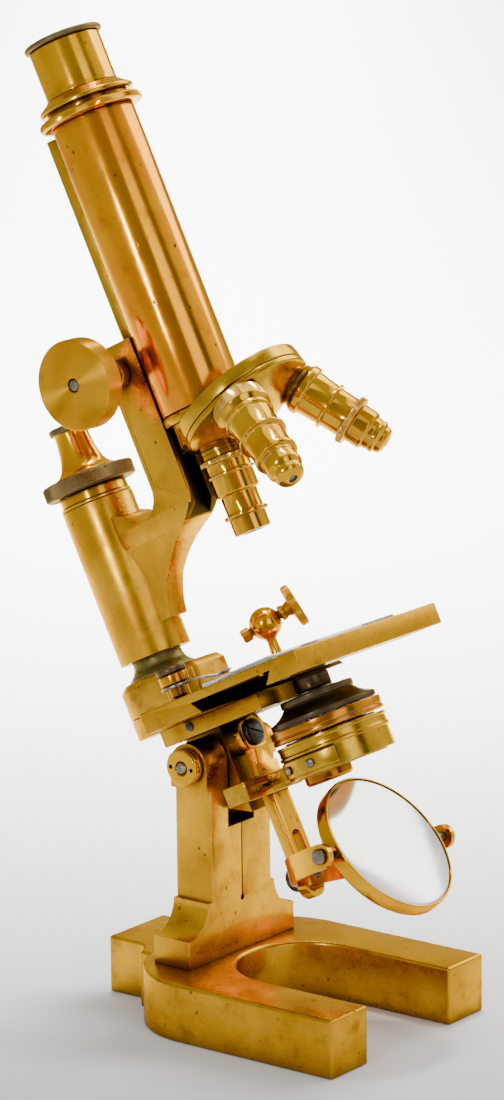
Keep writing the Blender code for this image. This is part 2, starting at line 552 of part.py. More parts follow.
def substage():
    ring = axis_frame(LIMB, (OPTIC_U, 0, 0))
    body = turned("substage_carriage", [(18.0, -19.9), (20.7, -19.9), (20.7, -12.2), (21.4, -12.0), (21.4, -10.9),
                                        (20.9, -10.6), (20.9, -8.2), (21.2, -7.9), (21.2, -6.9), (18.0, -6.9)],
                  ring, "brass", FINE, ring=True)
    join(body, block("substage_arm", (21.0, -8.0, -18.9), (34.0, 8.0, -13.6), LIMB, None))
    join(body, block("substage_block", (12.2, -22.0, -20.6), (23.0, 11.5, -13.0), LIMB, None))
    cut(body, block("substage_slit", (5.0, -19.0, -17.4), (40.0, -8.2, -16.3), LIMB, None))
    cut(body, block("substage_way", (14.5, -5.8, -40), (19.8, 5.8, 0), LIMB, None))
    sweep = arc((OPTIC_U, 0), 22.4, 237, 307, 10) + arc((OPTIC_U, 0), 21.0, 307, 237, 10)
    prism("substage_strap", sweep, -18.6, -12.6, LIMB, "brass", bevels=(0.25, 0.25))
    for tag, angle in (("rear", 249.0), ("front", 279.0)):
        way = (math.cos(math.radians(angle)), math.sin(math.radians(angle)), 0)
        spot = (OPTIC_U + way[0] * 22.7, way[1] * 22.7, -15.6)
        screw = axis_frame(LIMB, spot, way, (0, 0, 1))
        turned("strap_screw_" + tag, [(0, 0), (1.7, 0), (1.7, 0.5), (1.1, 1.0), (0, 1.1)], screw, "steel", SMALL)
    mount = turned("condenser_mount", [(6.5, -20.4), (17.6, -20.4), (17.6, -6.2), (6.5, -6.2)], ring, "red_brass",
                   FINE, ring=True)
    foot_place = axis_frame(LIMB, (44.5, 0, 0))
    join(mount, turned("condenser_foot", [(0, -24.0), (7.8, -24.0), (9.2, -22.8), (9.2, -17.0), (0, -17.0)],
                       foot_place, None, MEDIUM))
    cut(mount, rod("condenser_foot_bore", 5.0, -30.0, -10.0, foot_place))
    turned("condenser_collar", [(14.0, -5.9), (21.2, -5.9), (21.6, -5.5), (21.6, -1.2), (21.2, -0.9), (14.0, -0.9)],
           ring, "red_brass", FINE, ring=True)
    turned("condenser_head", [(5.0, -0.6), (20.0, -0.6), (20.3, -0.3), (20.3, 1.4), (19.8, 1.7), (13.6, 5.8),
                              (14.2, 6.2), (14.2, 8.2), (13.6, 8.6), (7.0, 8.9), (5.0, 8.9)], ring, "bronze", FINE,
           ring=True)
    turned("condenser_cap", [(3.6, 9.2), (6.3, 9.2), (6.9, 9.8), (6.9, 14.2), (6.3, 15.0), (3.6, 15.0)], ring,
           "bronze", MEDIUM, ring=True)
    turned("condenser_lens", [(0, 10.4), (3.3, 10.4), (3.3, 13.6), (2.0, 14.6), (0, 14.9)], ring, "glass", SMALL)


def mirror():
    yoke = axis_frame(LIMB, MIRROR_PIVOT, (0, 0.140, 0.990))
    inner = FORK_R - 2.1
    outline = arc((0, 0), FORK_R, 90, 270, 28) + [(4.6, -FORK_R), (4.6, -inner)]
    outline += arc((0, 0), inner, 270, 90, 28) + [(4.6, inner), (4.6, FORK_R)]
    fork = prism("mirror_fork", outline, -4.6, 4.6, yoke, "brass", smooth=True)
    ends = [(-60.0, -9.0), (0.0, -9.0)] + arc((0, 0), 4.6, -90, 90, 10) + [(0.0, 9.0), (-60.0, 9.0)]
    combine(fork, prism("fork_ends", ends, -60, 60, yoke, None, plane="xz"), "INTERSECT")
    cut(fork, rod("fork_pivot_holes", 2.0, -50, 50, axis_frame(LIMB, MIRROR_PIVOT, MIRROR_AXIS)))
    behind = axis_frame(LIMB, (0, 0, MIRROR_PIVOT[2]), (1, 0, 0), (0, 0, 1))
    cut(fork, rod("fork_bolt_hole", 2.4, 10, 30, behind))
    turned("mirror_bolt", [(0, 9.6), (3.4, 9.6), (4.8, 10.6), (4.8, 14.4), (2.1, 14.5), (2.1, 22.0),
                           (1.5, 22.4), (0, 22.4)], behind, "steel", SMALL)
    for sign, tag in ((-1, "near"), (1, "far")):
        way = tuple(sign * a for a in MIRROR_AXIS)
        pin = axis_frame(LIMB, MIRROR_PIVOT, way, (0, 0, 1))
        turned("mirror_pivot_" + tag, [(0, 27.4), (1.0, 27.4), (1.0, 31.0), (1.7, 31.0), (1.7, 36.8), (2.9, 36.8),
                                       (2.9, 38.2), (2.5, 38.7), (0, 38.7)], pin, "steel", SMALL)
    face = axis_frame(LIMB, MIRROR_CENTRE, MIRROR_NORMAL, (0, 0, 1))
    r = MIRROR_CELL_R
    cell = turned("mirror_cell", [(0, -7.0), (r - 4.0, -7.0), (r - 0.8, -6.2), (r, -5.4), (r, -0.4), (r - 0.4, 0.2),
                                  (r - 0.9, 0.2), (r - 0.9, -1.6), (0, -1.6)], face, "brass", FINE)
    cut(cell, rod("mirror_pivot_bore", 1.3, 26.9, 40, axis_frame(LIMB, MIRROR_PIVOT, MIRROR_AXIS), segments=8))
    cut(cell, rod("mirror_pivot_bore_near", 1.3, -40, -26.9, axis_frame(LIMB, MIRROR_PIVOT, MIRROR_AXIS), segments=8))
    turned("mirror_glass", [(0, -1.3), (r - 1.2, -1.3), (r - 1.2, -0.1), (0, -0.1)], face, "silver", FINE)


clear_scene()
foot()
pillar()
stand_fittings()
hinge_plate()
stage()
limb_boss()
arm()
fine_adjustment()
coarse_adjustment()
body_tube()
nosepiece()
objectives()
stage_clip()
stop_post()
tailpiece()
substage()
mirror()
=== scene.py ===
"""Visual model of the antique brass microscope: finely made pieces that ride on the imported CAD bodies."""

import json
import math

import bmesh
import bpy
import numpy as np
from mathutils import Matrix, Vector

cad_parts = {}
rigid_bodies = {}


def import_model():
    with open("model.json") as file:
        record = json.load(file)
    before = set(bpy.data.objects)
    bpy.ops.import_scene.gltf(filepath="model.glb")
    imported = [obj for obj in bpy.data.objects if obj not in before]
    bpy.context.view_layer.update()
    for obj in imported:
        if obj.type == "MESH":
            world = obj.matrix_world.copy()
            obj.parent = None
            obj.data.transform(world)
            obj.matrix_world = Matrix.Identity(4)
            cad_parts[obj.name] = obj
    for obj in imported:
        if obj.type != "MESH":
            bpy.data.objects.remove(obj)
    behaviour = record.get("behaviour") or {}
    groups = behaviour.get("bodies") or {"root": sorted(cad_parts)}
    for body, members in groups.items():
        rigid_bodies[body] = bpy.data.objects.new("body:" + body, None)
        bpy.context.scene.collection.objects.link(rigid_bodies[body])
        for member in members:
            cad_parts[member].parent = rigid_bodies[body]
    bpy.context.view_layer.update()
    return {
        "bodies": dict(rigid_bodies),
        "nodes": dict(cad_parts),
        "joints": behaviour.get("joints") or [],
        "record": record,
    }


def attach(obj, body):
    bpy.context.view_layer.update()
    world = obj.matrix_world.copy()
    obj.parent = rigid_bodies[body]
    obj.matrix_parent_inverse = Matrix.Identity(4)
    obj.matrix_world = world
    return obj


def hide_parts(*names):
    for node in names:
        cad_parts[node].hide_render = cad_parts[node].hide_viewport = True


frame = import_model()
RECORD = frame["record"]
BODY_OF = {node: body for body, nodes in RECORD["behaviour"]["bodies"].items() for node in nodes}
JOINTS = {joint["name"]: joint for joint in RECORD["behaviour"]["joints"]}

MM = 0.001
TRUNNION = Vector(JOINTS["inclination"]["pos_m"])
UP = Vector(JOINTS["coarse_travel"]["axis"])
FORWARD = Vector(JOINTS["mirror_swing"]["axis"])
WORLD = Matrix.Identity(4)
LIMB = Matrix.Translation(TRUNNION) @ Matrix((FORWARD, (0, 1, 0), UP)).transposed().to_4x4()


# ---- Materials ----

class Nodes:
    """Short names for building the node tree of a material or of the world."""

    def __init__(self, name, owners=bpy.data.materials, shader="Principled BSDF"):
        self.material = owners.new(name)
        self.material.use_nodes = True
        self.tree = self.material.node_tree
        self.shader = self.tree.nodes[shader]

    def link(self, out, socket):
        """Sets the socket to a number or a tuple, or links another node's output to it."""
        if isinstance(out, (int, float)):
            socket.default_value = out
        elif isinstance(out, tuple):
            socket.default_value = out if len(out) != 3 or socket.type == "VECTOR" else (*out, 1.0)
        else:
            self.tree.links.new(out, socket)

    def set(self, **values):
        """Sets or links the shader's own sockets, written with _ for a space."""
        for name, value in values.items():
            self.link(value, self.shader.inputs[name.replace("_", " ")])

    def times(self, a, b, clamp=False):
        return self.math("MULTIPLY", a, b, clamp)

    def plus(self, a, b):
        return self.math("ADD", a, b)

    def add(self, kind, values=None, **settings):
        """A new node with its settings, and its sockets set or linked."""
        node = self.tree.nodes.new("ShaderNode" + kind)
        for name, setting in settings.items():
            setattr(node, name, setting)
        for name, value in (values or {}).items():
            self.link(value, node.inputs[name])
        return node

    def math(self, operation, a, b=0.0, clamp=False):
        return self.add("Math", {0: a, 1: b}, operation=operation, use_clamp=clamp).outputs[0]

    def place(self):
        """Where a point is in its piece's own frame."""
        return self.add("Attribute", attribute_name="own_place").outputs["Vector"]

    def split(self, vector):
        return self.add("SeparateXYZ", {0: vector}).outputs

    def join(self, x, y, z):
        return self.add("CombineXYZ", {0: x, 1: y, 2: z}).outputs[0]

    def scaled(self, vector, scale):
        return self.add("Mapping", {"Vector": vector, "Scale": scale}).outputs[0]

    def noise(self, vector, scale, detail=4.0, rough=0.55, distortion=0.0):
        values = {"Vector": vector, "Scale": scale, "Detail": detail, "Roughness": rough}
        return self.add("TexNoise", {**values, "Distortion": distortion}).outputs[0]

    def cells(self, vector, scale):
        return self.add("TexVoronoi", {"Vector": vector, "Scale": scale}).outputs["Distance"]

    def span(self, value, low, high, to_low=0.0, to_high=1.0):
        values = {"Value": value, "From Min": low, "From Max": high, "To Min": to_low, "To Max": to_high}
        return self.add("MapRange", values, interpolation_type="SMOOTHSTEP").outputs[0]

    def mix(self, amount, a, b):
        return self.add("Mix", {0: amount, 6: a, 7: b}, data_type="RGBA").outputs[2]

    def bump(self, height, strength, distance, after=None):
        values = {"Height": height, "Strength": strength, "Distance": distance}
        if after is not None:
            values["Normal"] = after
        return self.add("Bump", values).outputs[0]

    def edges(self, radius, low, high):
        """1 on convex and concave edges, 0 on open faces."""
        bevel = self.add("Bevel", {"Radius": radius}, samples=4).outputs[0]
        plain = self.add("NewGeometry").outputs["Normal"]
        dot = self.add("VectorMath", {0: bevel, 1: plain}, operation="DOT_PRODUCT")
        return self.span(dot.outputs["Value"], high, low)


def painted_corner_shade(n, reach=0.010):
    """How closed in a spot is, from 0 in the open to 1 deep in a corner: the mask for painted shade."""
    node = n.add("AmbientOcclusion", {"Distance": reach}, samples=6)
    return n.span(node.outputs["AO"], 0.92, 0.38)


def grain_of(n, place, grain):
    """A fine scratch pattern: 'ring' runs round the piece's Z, x and z run along that axis."""
    if grain == "ring":
        x, y, z = n.split(place)
        radius = n.math("SQRT", n.plus(n.times(x, x), n.times(y, y)))
        turn = n.math("ARCTAN2", y, x)
        place = n.join(radius, n.times(turn, 0.0012), z)
        return n.noise(place, 4200.0, 3.0, 0.65)
    scale = {"x": (0.02, 1.0, 1.0), "z": (1.0, 1.0, 0.02)}[grain]
    return n.noise(n.scaled(place, scale), 3800.0, 3.0, 0.65)


SPECK = (0.07, 0.035, 0.012)
# Dark umber that the painted corner shade mixes into the tone.
CORNER_SHADE = (0.05, 0.018, 0.003)


def brass(name, light, deep, dark, rough, grain="ring", grain_bump=0.10, mottle=0.6, spots=0.5,
          patina=0.0, patina_colour=None, edge=None, anisotropy=0.0, coat=0.25, coat_tint=None):
    """Aged lacquered brass: drifting tones, dark stains, specks, scratches, worn edges, and painted shade
    that darkens corners.
    """
    n = Nodes(name)
    place = n.place()
    slow = n.noise(place, 38.0, 3.0, 0.5, 0.6)
    broad = n.noise(place, 110.0, 5.0, 0.6)
    fine = n.noise(place, 900.0, 4.0, 0.6)
    scratch = grain_of(n, place, grain)
    tone = n.mix(n.span(slow, 0.36, 0.64), light, deep)
    tone = n.mix(n.times(n.span(broad, 0.52, 0.78), mottle), tone, dark)
    tone = n.mix(n.times(n.span(scratch, 0.40, 0.72), 0.16), tone, dark)
    cells = n.cells(n.scaled(place, (1.0, 1.0, 0.8)), 210.0)
    ragged = n.plus(cells, n.times(n.math("SUBTRACT", fine, 0.5), 0.25))
    speck = n.times(n.span(ragged, 0.17, 0.08), n.span(n.noise(place, 160.0), 0.52, 0.58))
    speck = n.times(speck, spots)
    tone = n.mix(speck, tone, SPECK)
    roughness = n.plus(n.span(broad, 0.3, 0.75, *rough), n.times(scratch, 0.05))
    roughness = n.plus(roughness, n.times(speck, 0.3))
    if patina:
        coating = n.times(n.span(n.plus(broad, n.times(fine, 0.35)), 0.50, 0.86), patina, clamp=True)
        tone = n.mix(coating, tone, patina_colour)
        roughness = n.plus(roughness, n.times(coating, 0.18))
    if edge:
        worn = n.times(n.edges(0.0007, 0.86, 0.985), n.span(broad, 0.30, 0.60))
        tone = n.mix(n.times(worn, 0.75), tone, edge)
    # Painted shade: corners and gaps between parts, where the AO finds them closed in, go towards a dark
    # umber mix of the tone.
    tone = n.mix(n.times(painted_corner_shade(n), 0.90), tone, n.mix(0.80, tone, CORNER_SHADE))
    normal = n.bump(scratch, grain_bump, 0.00004)
    normal = n.bump(n.noise(place, 95.0, 2.0), 0.06, 0.0006, normal)
    normal = n.bump(n.times(speck, -1.0), 0.25, 0.0001, normal)
    n.set(Base_Color=tone, Metallic=1.0, Roughness=roughness, Normal=normal)
    n.set(Specular_Tint=(1.0, 0.74, 0.36), Coat_Weight=coat, Coat_Roughness=0.12, Coat_IOR=1.45)
    if anisotropy:
        round_y = n.add("Tangent", direction_type="RADIAL", axis="Y").outputs[0]
        n.set(Tangent=round_y, Anisotropic=anisotropy, Anisotropic_Rotation=0.25)
    if coat_tint:
        n.set(Coat_Tint=coat_tint)
    return n.material


def steel(name, base, bright, rough=0.32):
    n = Nodes(name)
    place = n.place()
    scratch = grain_of(n, place, "ring")
    tone = n.mix(n.span(n.noise(place, 260.0, 4.0), 0.35, 0.7), base, bright)
    tone = n.mix(n.times(n.edges(0.0004, 0.86, 0.985), 0.5), tone, (0.42, 0.36, 0.28))
    roughness = n.span(n.noise(place, 600.0), 0.3, 0.7, rough - 0.08, rough + 0.12)
    n.set(Base_Color=tone, Metallic=1.0, Roughness=roughness, Normal=n.bump(scratch, 0.15, 0.00004))
    return n.material


def clear_glass(name):
    n = Nodes(name)
    smear = n.noise(n.place(), 60.0, 5.0, 0.6)
    tone = n.mix(n.edges(0.0010, 0.80, 0.97), (0.90, 0.95, 0.92), (0.66, 0.74, 0.66))
    roughness = n.span(smear, 0.3, 0.75, 0.03, 0.14)
    n.set(Base_Color=tone, Transmission_Weight=0.82, IOR=1.5, Roughness=roughness)
    n.set(Normal=n.bump(smear, 0.03, 0.0002))
    return n.material


def silvered(name):
    n = Nodes(name)
    place = n.place()
    haze = n.noise(place, 45.0, 5.0, 0.6)
    tone = n.mix(n.span(haze, 0.4, 0.8), (0.96, 0.955, 0.90), (0.92, 0.915, 0.86))
    speck = n.times(n.span(n.cells(place, 320.0), 0.08, 0.03), n.span(n.noise(place, 90.0), 0.55, 0.65))
    tone = n.mix(speck, tone, (0.30, 0.27, 0.20))
    n.set(Base_Color=tone, Metallic=0.85, Roughness=n.span(haze, 0.3, 0.8, 0.10, 0.20))
    n.set(Coat_Weight=0.5, Coat_Roughness=0.03)
    return n.material


PALE = (0.96, 0.62, 0.14)
UMBER = (0.30, 0.10, 0.012)

MATERIALS = {
    "tube": brass("orange_lacquer", (0.97, 0.41, 0.0005), (0.90, 0.32, 0.0005), (0.50, 0.15, 0.0005),
        (0.09, 0.17), spots=1.0, edge=PALE, coat=0.08, coat_tint=(1.0, 0.80, 0.45)),
    "polish": brass("polished_brass", (0.93, 0.47, 0.004), (0.82, 0.35, 0.002), UMBER, (0.08, 0.17),
        mottle=0.45, spots=0.6, edge=PALE, coat=0.06),
    "objective": brass("objective_brass", (0.88, 0.47, 0.014), (0.72, 0.33, 0.006), UMBER, (0.05, 0.13),
        spots=0.6, edge=(0.98, 0.76, 0.26), coat=0.08),
    "green_gold": brass("greenish_brass", (0.82, 0.46, 0.014), (0.62, 0.32, 0.008), (0.22, 0.10, 0.006),
        (0.11, 0.22), patina=0.35, patina_colour=(0.26, 0.17, 0.03), edge=PALE, coat=0.1),
    "satin_ring": brass("satin_turned_brass", (0.86, 0.43, 0.012), (0.74, 0.34, 0.008), UMBER,
        (0.36, 0.46), grain_bump=0.35, mottle=0.4, spots=0.4, edge=PALE, anisotropy=0.95, coat=0.03),
    "satin_z": brass("satin_upright_brass", (0.80, 0.42, 0.012), (0.64, 0.30, 0.006), UMBER, (0.20, 0.34),
        grain="z", grain_bump=0.22, mottle=0.55, spots=0.8, edge=PALE, coat=0.08),
    "satin_x": brass("satin_level_brass", (0.72, 0.38, 0.014), (0.56, 0.27, 0.006), (0.20, 0.08, 0.006),
        (0.20, 0.36), grain="x", grain_bump=0.28, mottle=0.7, spots=0.7, edge=PALE, coat=0.1),
    "column": brass("mottled_column_brass", (0.80, 0.42, 0.018), (0.62, 0.30, 0.010), (0.22, 0.09, 0.008),
        (0.22, 0.38), mottle=0.7, spots=1.0, patina=0.35, patina_colour=(0.26, 0.12, 0.02),
        edge=PALE, coat=0.1),
    "verdigris": brass("verdigris_brass", (0.58, 0.44, 0.09), (0.40, 0.31, 0.07), (0.13, 0.10, 0.03),
        (0.32, 0.50), mottle=0.9, spots=1.0, patina=1.0, patina_colour=(0.19, 0.22, 0.07)),
    "red": brass("red_brass", (0.66, 0.27, 0.006), (0.50, 0.17, 0.004), (0.18, 0.05, 0.004), (0.12, 0.24),
        spots=0.4, edge=(0.96, 0.62, 0.22), coat=0.15),
    "bronze": brass("bronzed_dark", (0.13, 0.082, 0.036), (0.075, 0.05, 0.026), (0.03, 0.021, 0.013),
        (0.28, 0.44), mottle=0.7, spots=0.3, patina=0.5, patina_colour=(0.10, 0.085, 0.045),
        edge=(0.42, 0.28, 0.10)),
    "patina": brass("grey_patina", (0.25, 0.17, 0.07), (0.17, 0.12, 0.05), (0.07, 0.05, 0.025),
        (0.36, 0.52), mottle=0.8, patina=0.7, patina_colour=(0.14, 0.12, 0.065),
        edge=(0.60, 0.40, 0.14), coat=0.0),
    # Near-black brass painted as shade into grooves, gaps and the underside of the hinge plate.
    "recess": brass("painted_recess_shade", (0.085, 0.05, 0.016), (0.05, 0.03, 0.012), (0.02, 0.012, 0.006),
        (0.30, 0.45), spots=0.2, coat=0.0),
    "steel": steel("blackened_steel", (0.05, 0.045, 0.042), (0.13, 0.12, 0.11)),
    "bright_steel": steel("bright_steel", (0.20, 0.165, 0.12), (0.40, 0.35, 0.27), 0.28),
    "glass": clear_glass("plate_glass"),
    "mirror": silvered("silvered_glass"),
}


# ---- Mesh tools ----

FINE = 128
MEDIUM = 80
SMALL = 48


def axis_frame(base, origin, direction=(0.0, 0.0, 1.0), side=(1.0, 0.0, 0.0)):
    """A frame inside base whose Z is direction and whose X is as near to side as it can be."""
    z = Vector(direction).normalized()
    y = z.cross(Vector(side)).normalized()
    x = y.cross(z)
    turn = Matrix((x, y, z)).transposed().to_4x4()
    return base @ Matrix.Translation(Vector(origin) * MM) @ turn


def softened(line, radius, closed=False, steps=3):
    """Rounds each corner of a line of 2-D points with a short curve."""
    made = []
    count = len(line)
    for i in range(count):
        here = Vector(line[i])
        if not closed and i in (0, count - 1):
            made.append(tuple(here))
            continue
        back = Vector(line[i - 1]) - here
        ahead = Vector(line[(i + 1) % count]) - here
        if back.length < 1e-6 or ahead.length < 1e-6:
            continue
        turn = math.pi - back.angle(ahead)
        reach = min(radius, 0.38 * back.length, 0.38 * ahead.length)
        if turn < math.radians(22) or reach < 0.015:
            made.append(tuple(here))
            continue
        first = here + back.normalized() * reach
        last = here + ahead.normalized() * reach
        for step in range(steps + 1):
            t = step / steps
            made.append(tuple((1 - t) ** 2 * first + 2 * t * (1 - t) * here + t * t * last))
    return made


def put(name, data, place):
    """Adds an object to the scene."""
    obj = bpy.data.objects.new(name, data)
    bpy.context.scene.collection.objects.link(obj)
    obj.matrix_world = place
    return obj


def mesh_object(name, points, faces, place, sharp=40):
    mesh = bpy.data.meshes.new(name)
    mesh.from_pydata([Vector(p) * MM for p in points], [], faces)
    work = bmesh.new()
    work.from_mesh(mesh)
    bmesh.ops.recalc_face_normals(work, faces=work.faces)
    work.to_mesh(mesh)
    work.free()
    mesh.shade_smooth()
    mesh.set_sharp_from_angle(angle=math.radians(sharp))
    return put(name, mesh, place)


def turned(name, profile, place, segments=FINE, soft=0.35, knurl=None):
    """Revolves (radius, height) points about the frame's Z, with softened corners.
    A profile that starts off the axis is closed into a ring.
    A knurl is (lowest height, highest height, least radius, teeth, depth)."""
    ring = profile[0][0] > 0
    line = softened(profile, soft, closed=ring)
    if knurl:
        segments = 2 * knurl[3]
    points = []
    rows = []
    for radius, height in line:
        if radius < 1e-6:
            rows.append([len(points)] * segments)
            points.append((0.0, 0.0, height))
            continue
        rows.append(list(range(len(points), len(points) + segments)))
        cut_in = 0.0
        if knurl and knurl[0] <= height <= knurl[1] and radius >= knurl[2]:
            cut_in = knurl[4]
        for i in range(segments):
            angle = 2 * math.pi * i / segments
            r = radius - cut_in * (i % 2)
            points.append((r * math.cos(angle), r * math.sin(angle), height))
    if ring:
        rows.append(rows[0])
    faces = []
    for low, high in zip(rows, rows[1:]):
        for i in range(segments):
            j = (i + 1) % segments
            faces.append(list(dict.fromkeys([low[i], low[j], high[j], high[i]])))
    return mesh_object(name, points, faces, place)


def inset(outline, distance):
    """Moves each side of a counterclockwise outline inwards."""
    moved = []
    count = len(outline)
    for i in range(count):
        here = Vector(outline[i])
        first = (here - Vector(outline[i - 1])).normalized()
        second = (Vector(outline[(i + 1) % count]) - here).normalized()
        normal = Vector((-first.y - second.y, first.x + second.x)).normalized()
        stretch = max(0.5, normal.dot(Vector((-second.y, second.x))))
        moved.append(tuple(here + normal * (distance / stretch)))
    return moved


PLANES = {"xy": lambda a, b, c: (a, b, c), "xz": lambda a, b, c: (a, c, b), "yz": lambda a, b, c: (c, a, b)}


def layered(name, outline, rows, place, plane="xy", soft=0.0):
    """Stacks an outline at (inset, height) rows. The further a row is inset, the tighter its corners are."""
    to_space = PLANES[plane]
    points = []
    for depth, level in rows:
        line = inset(outline, depth) if depth > 1e-6 else outline
        if soft:
            line = softened(line, max(soft - depth, 0.06), closed=True)
        points += [to_space(a, b, level) for a, b in line]
    count = len(points) // len(rows)
    faces = [list(range(count)), list(range((len(rows) - 1) * count, len(rows) * count))]
    for row in range(len(rows) - 1):
        for i in range(count):
            j = (i + 1) % count
            base = row * count
            faces.append([base + i, base + j, base + count + j, base + count + i])
    return mesh_object(name, points, faces, place)


def prism(name, outline, low, high, place, plane="xy", rounds=(0.0, 0.0), soft=0.0):
    """Extrudes a counterclockwise outline. Each round is the radius of that end's edge."""
    first, last = rounds
    rows = []
    quarter = [math.pi / 8 * step for step in range(5)]
    for angle in quarter if first else [0.0]:
        rows.append((first * (1 - math.sin(angle)), low + first * (1 - math.cos(angle))))
    for angle in quarter if last else [0.0]:
        rows.append((last * (1 - math.cos(angle)), high - last * (1 - math.sin(angle))))
    return layered(name, outline, rows, place, plane, soft)


def block(name, low, high, place, soft=0.4):
    """A box with rounded edges."""
    outline = [(low[0], low[1]), (high[0], low[1]), (high[0], high[1]), (low[0], high[1])]
    return prism(name, outline, low[2], high[2], place, rounds=(soft, soft), soft=soft)


def rod(name, radius, low, high, place, segments=SMALL):
    return turned(name, [(0, low), (radius, low), (radius, high), (0, high)], place, segments, soft=0.0)


def bake(obj):
    """Applies the object's modifiers."""
    graph = bpy.context.evaluated_depsgraph_get()
    made = bpy.data.meshes.new_from_object(obj.evaluated_get(graph))
    old = obj.data
    obj.modifiers.clear()
    obj.data = made
    bpy.data.meshes.remove(old)
    made.set_sharp_from_angle(angle=math.radians(35))


def combine(obj, helper, operation):
    step = obj.modifiers.new(operation.title(), "BOOLEAN")
    step.operation = operation
    step.solver = "EXACT"
    step.object = helper
    bpy.context.view_layer.update()
    bake(obj)
    bpy.data.objects.remove(helper, do_unlink=True)


def cut(obj, *helpers):
    for helper in helpers:
        combine(obj, helper, "DIFFERENCE")


def join(obj, *helpers):
    for helper in helpers:
        combine(obj, helper, "UNION")


def ease(obj, width=0.35, segments=3, angle=30):
    """Rounds the sharp edges of a piece made with Booleans."""
    step = obj.modifiers.new("Ease", "BEVEL")
    step.width = width * MM
    step.segments = segments
    step.limit_method = "ANGLE"
    step.angle_limit = math.radians(angle)
    step.use_clamp_overlap = True
    step.miter_outer = "MITER_ARC"
    bpy.context.view_layer.update()
    bake(obj)


def squared(obj):
    """Turns the mesh to the row's axes. Its finish follows each point's place in the piece's own frame."""
    points = np.empty(3 * len(obj.data.vertices), np.float32)
    obj.data.vertices.foreach_get("co", points)
    obj.data.attributes.new("own_place", "FLOAT_VECTOR", "POINT").data.foreach_set("vector", points)
    obj.data.transform(obj.matrix_world)
    obj.matrix_world = WORLD


def trim(obj, node, material):
    """Gives a piece its finish, and the body of a CAD node."""
    squared(obj)
    obj.data.materials.clear()
    obj.data.materials.append(MATERIALS[material])
    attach(obj, BODY_OF[node])


def publish(obj, node, material):
    """Lets the piece stand for its CAD node."""
    trim(obj, node, material)
    obj.data.shade_smooth()
    obj.data.set_sharp_from_angle(angle=math.radians(38))
    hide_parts(node)


def lathe(node, material, profile, place, segments=FINE, soft=0.35, knurl=None, tag=""):
    """A turned piece that stands for its CAD node."""
    tag = "_" + tag if tag else ""
    publish(turned(node + "_fine" + tag, profile, place, segments, soft, knurl), node + tag, material)


def paint_shade_on(obj, frame, inside):
    """Paints shade: gives the near-black recess material to the faces whose middle, in this frame's
    millimetres, passes the test.
    """
    obj.data.materials.append(MATERIALS["recess"])
    back = frame.inverted()
    for face in obj.data.polygons:
        if inside(*(back @ face.center / MM)):
            face.material_index = 1


def arc(centre, radius, start, end, count):
    """Points along an arc, both ends included. Angles are in degrees."""
    made = []
    for i in range(count + 1):
        angle = math.radians(start + (end - start) * i / count)
        made.append((centre[0] + radius * math.cos(angle), centre[1] + radius * math.sin(angle)))
    return made


def flow(points, count):
    """A smooth curve through the points, without its last point."""
    made = []
    for i in range(len(points) - 1):
        p = [Vector(points[min(max(k, 0), len(points) - 1)]) for k in range(i - 1, i + 3)]
        for step in range(count):
            t = step / count
            slope = (p[2] - p[0]) * t
            bend = (2 * p[0] - 5 * p[1] + 4 * p[2] - p[3]) * t * t
            twist = (3 * p[1] - p[0] - 3 * p[2] + p[3]) * t ** 3
            made.append(tuple(0.5 * (2 * p[1] + slope + bend + twist)))
    return made


def slotted_screw(node, head_r, head_h, shaft_r, length, place, slot=0.8, domed=0.5, material="steel"):
    """Head from Z 0 up to head_h, shaft below it, and a driver slot across the head."""
    shoulder = head_h * (1 - domed)
    line = [(0, -length), (shaft_r, -length), (shaft_r, 0), (head_r, 0), (head_r, shoulder + 0.05)]
    for a in (0.35, 0.7, 1.05, 1.35):
        line.append((head_r * math.cos(a), shoulder + head_h * domed * math.sin(a)))
    screw = turned(node + "_fine", line + [(0, head_h)], place, SMALL, soft=0.15)
    low, high = (-slot / 2, -head_r * 2, head_h * 0.45), (slot / 2, head_r * 2, head_h * 2)
    cut(screw, block(node + "_slot", low, high, place, 0.05))
    publish(screw, node, material)


# ---- Sizes in millimetres: u forward, v across, w up from the trunnion in the limb's frame ----

FOOT_HEIGHT = 22.2
PRONG_END = 85.2
FOOT_HALF = 48.0
GAP_HALF = 25.8
PILLAR_X = 8.4
PILLAR_Y = 17.9
PLINTH_Y = 32.2
PAD_Y = 20.8
FORK_GAP = 7.9
TRUNNION_Z = TRUNNION.z / MM
COLUMN_U = -13.0
OPTIC_U = 52.8
BOSS_R = 17.7
STAGE = (6.0, 85.9, 43.45, 15.6, 23.6)
ARM_FRONT = 38.1
ARM_REAR = 21.7
ARM_TOP = 155.4
PINION = (27.7, 0.0, 144.5)
APEX_W = 164.1
NOSE_TILT = math.radians(20.7)
NOSE_R = 26.7
NOSE_TOP = 46.2
NOSE_SPLIT = 51.5
BAR = (14.8, 19.5, 5.45, 3.3)
PIVOT = (56.3, 0.0, -53.6)
MIRROR_AXIS = (0.0, 0.990, -0.140)
MIRROR_CENTRE = (59.6, 0.0, -52.7)
MIRROR_NORMAL = (0.944, 0.045, 0.326)
CELL_R = 29.0
FORK_R = 36.5

COLUMN = axis_frame(LIMB, (COLUMN_U, 0, 0))
OPTIC = axis_frame(LIMB, (OPTIC_U, 0, 0))


# ---- Stand ----

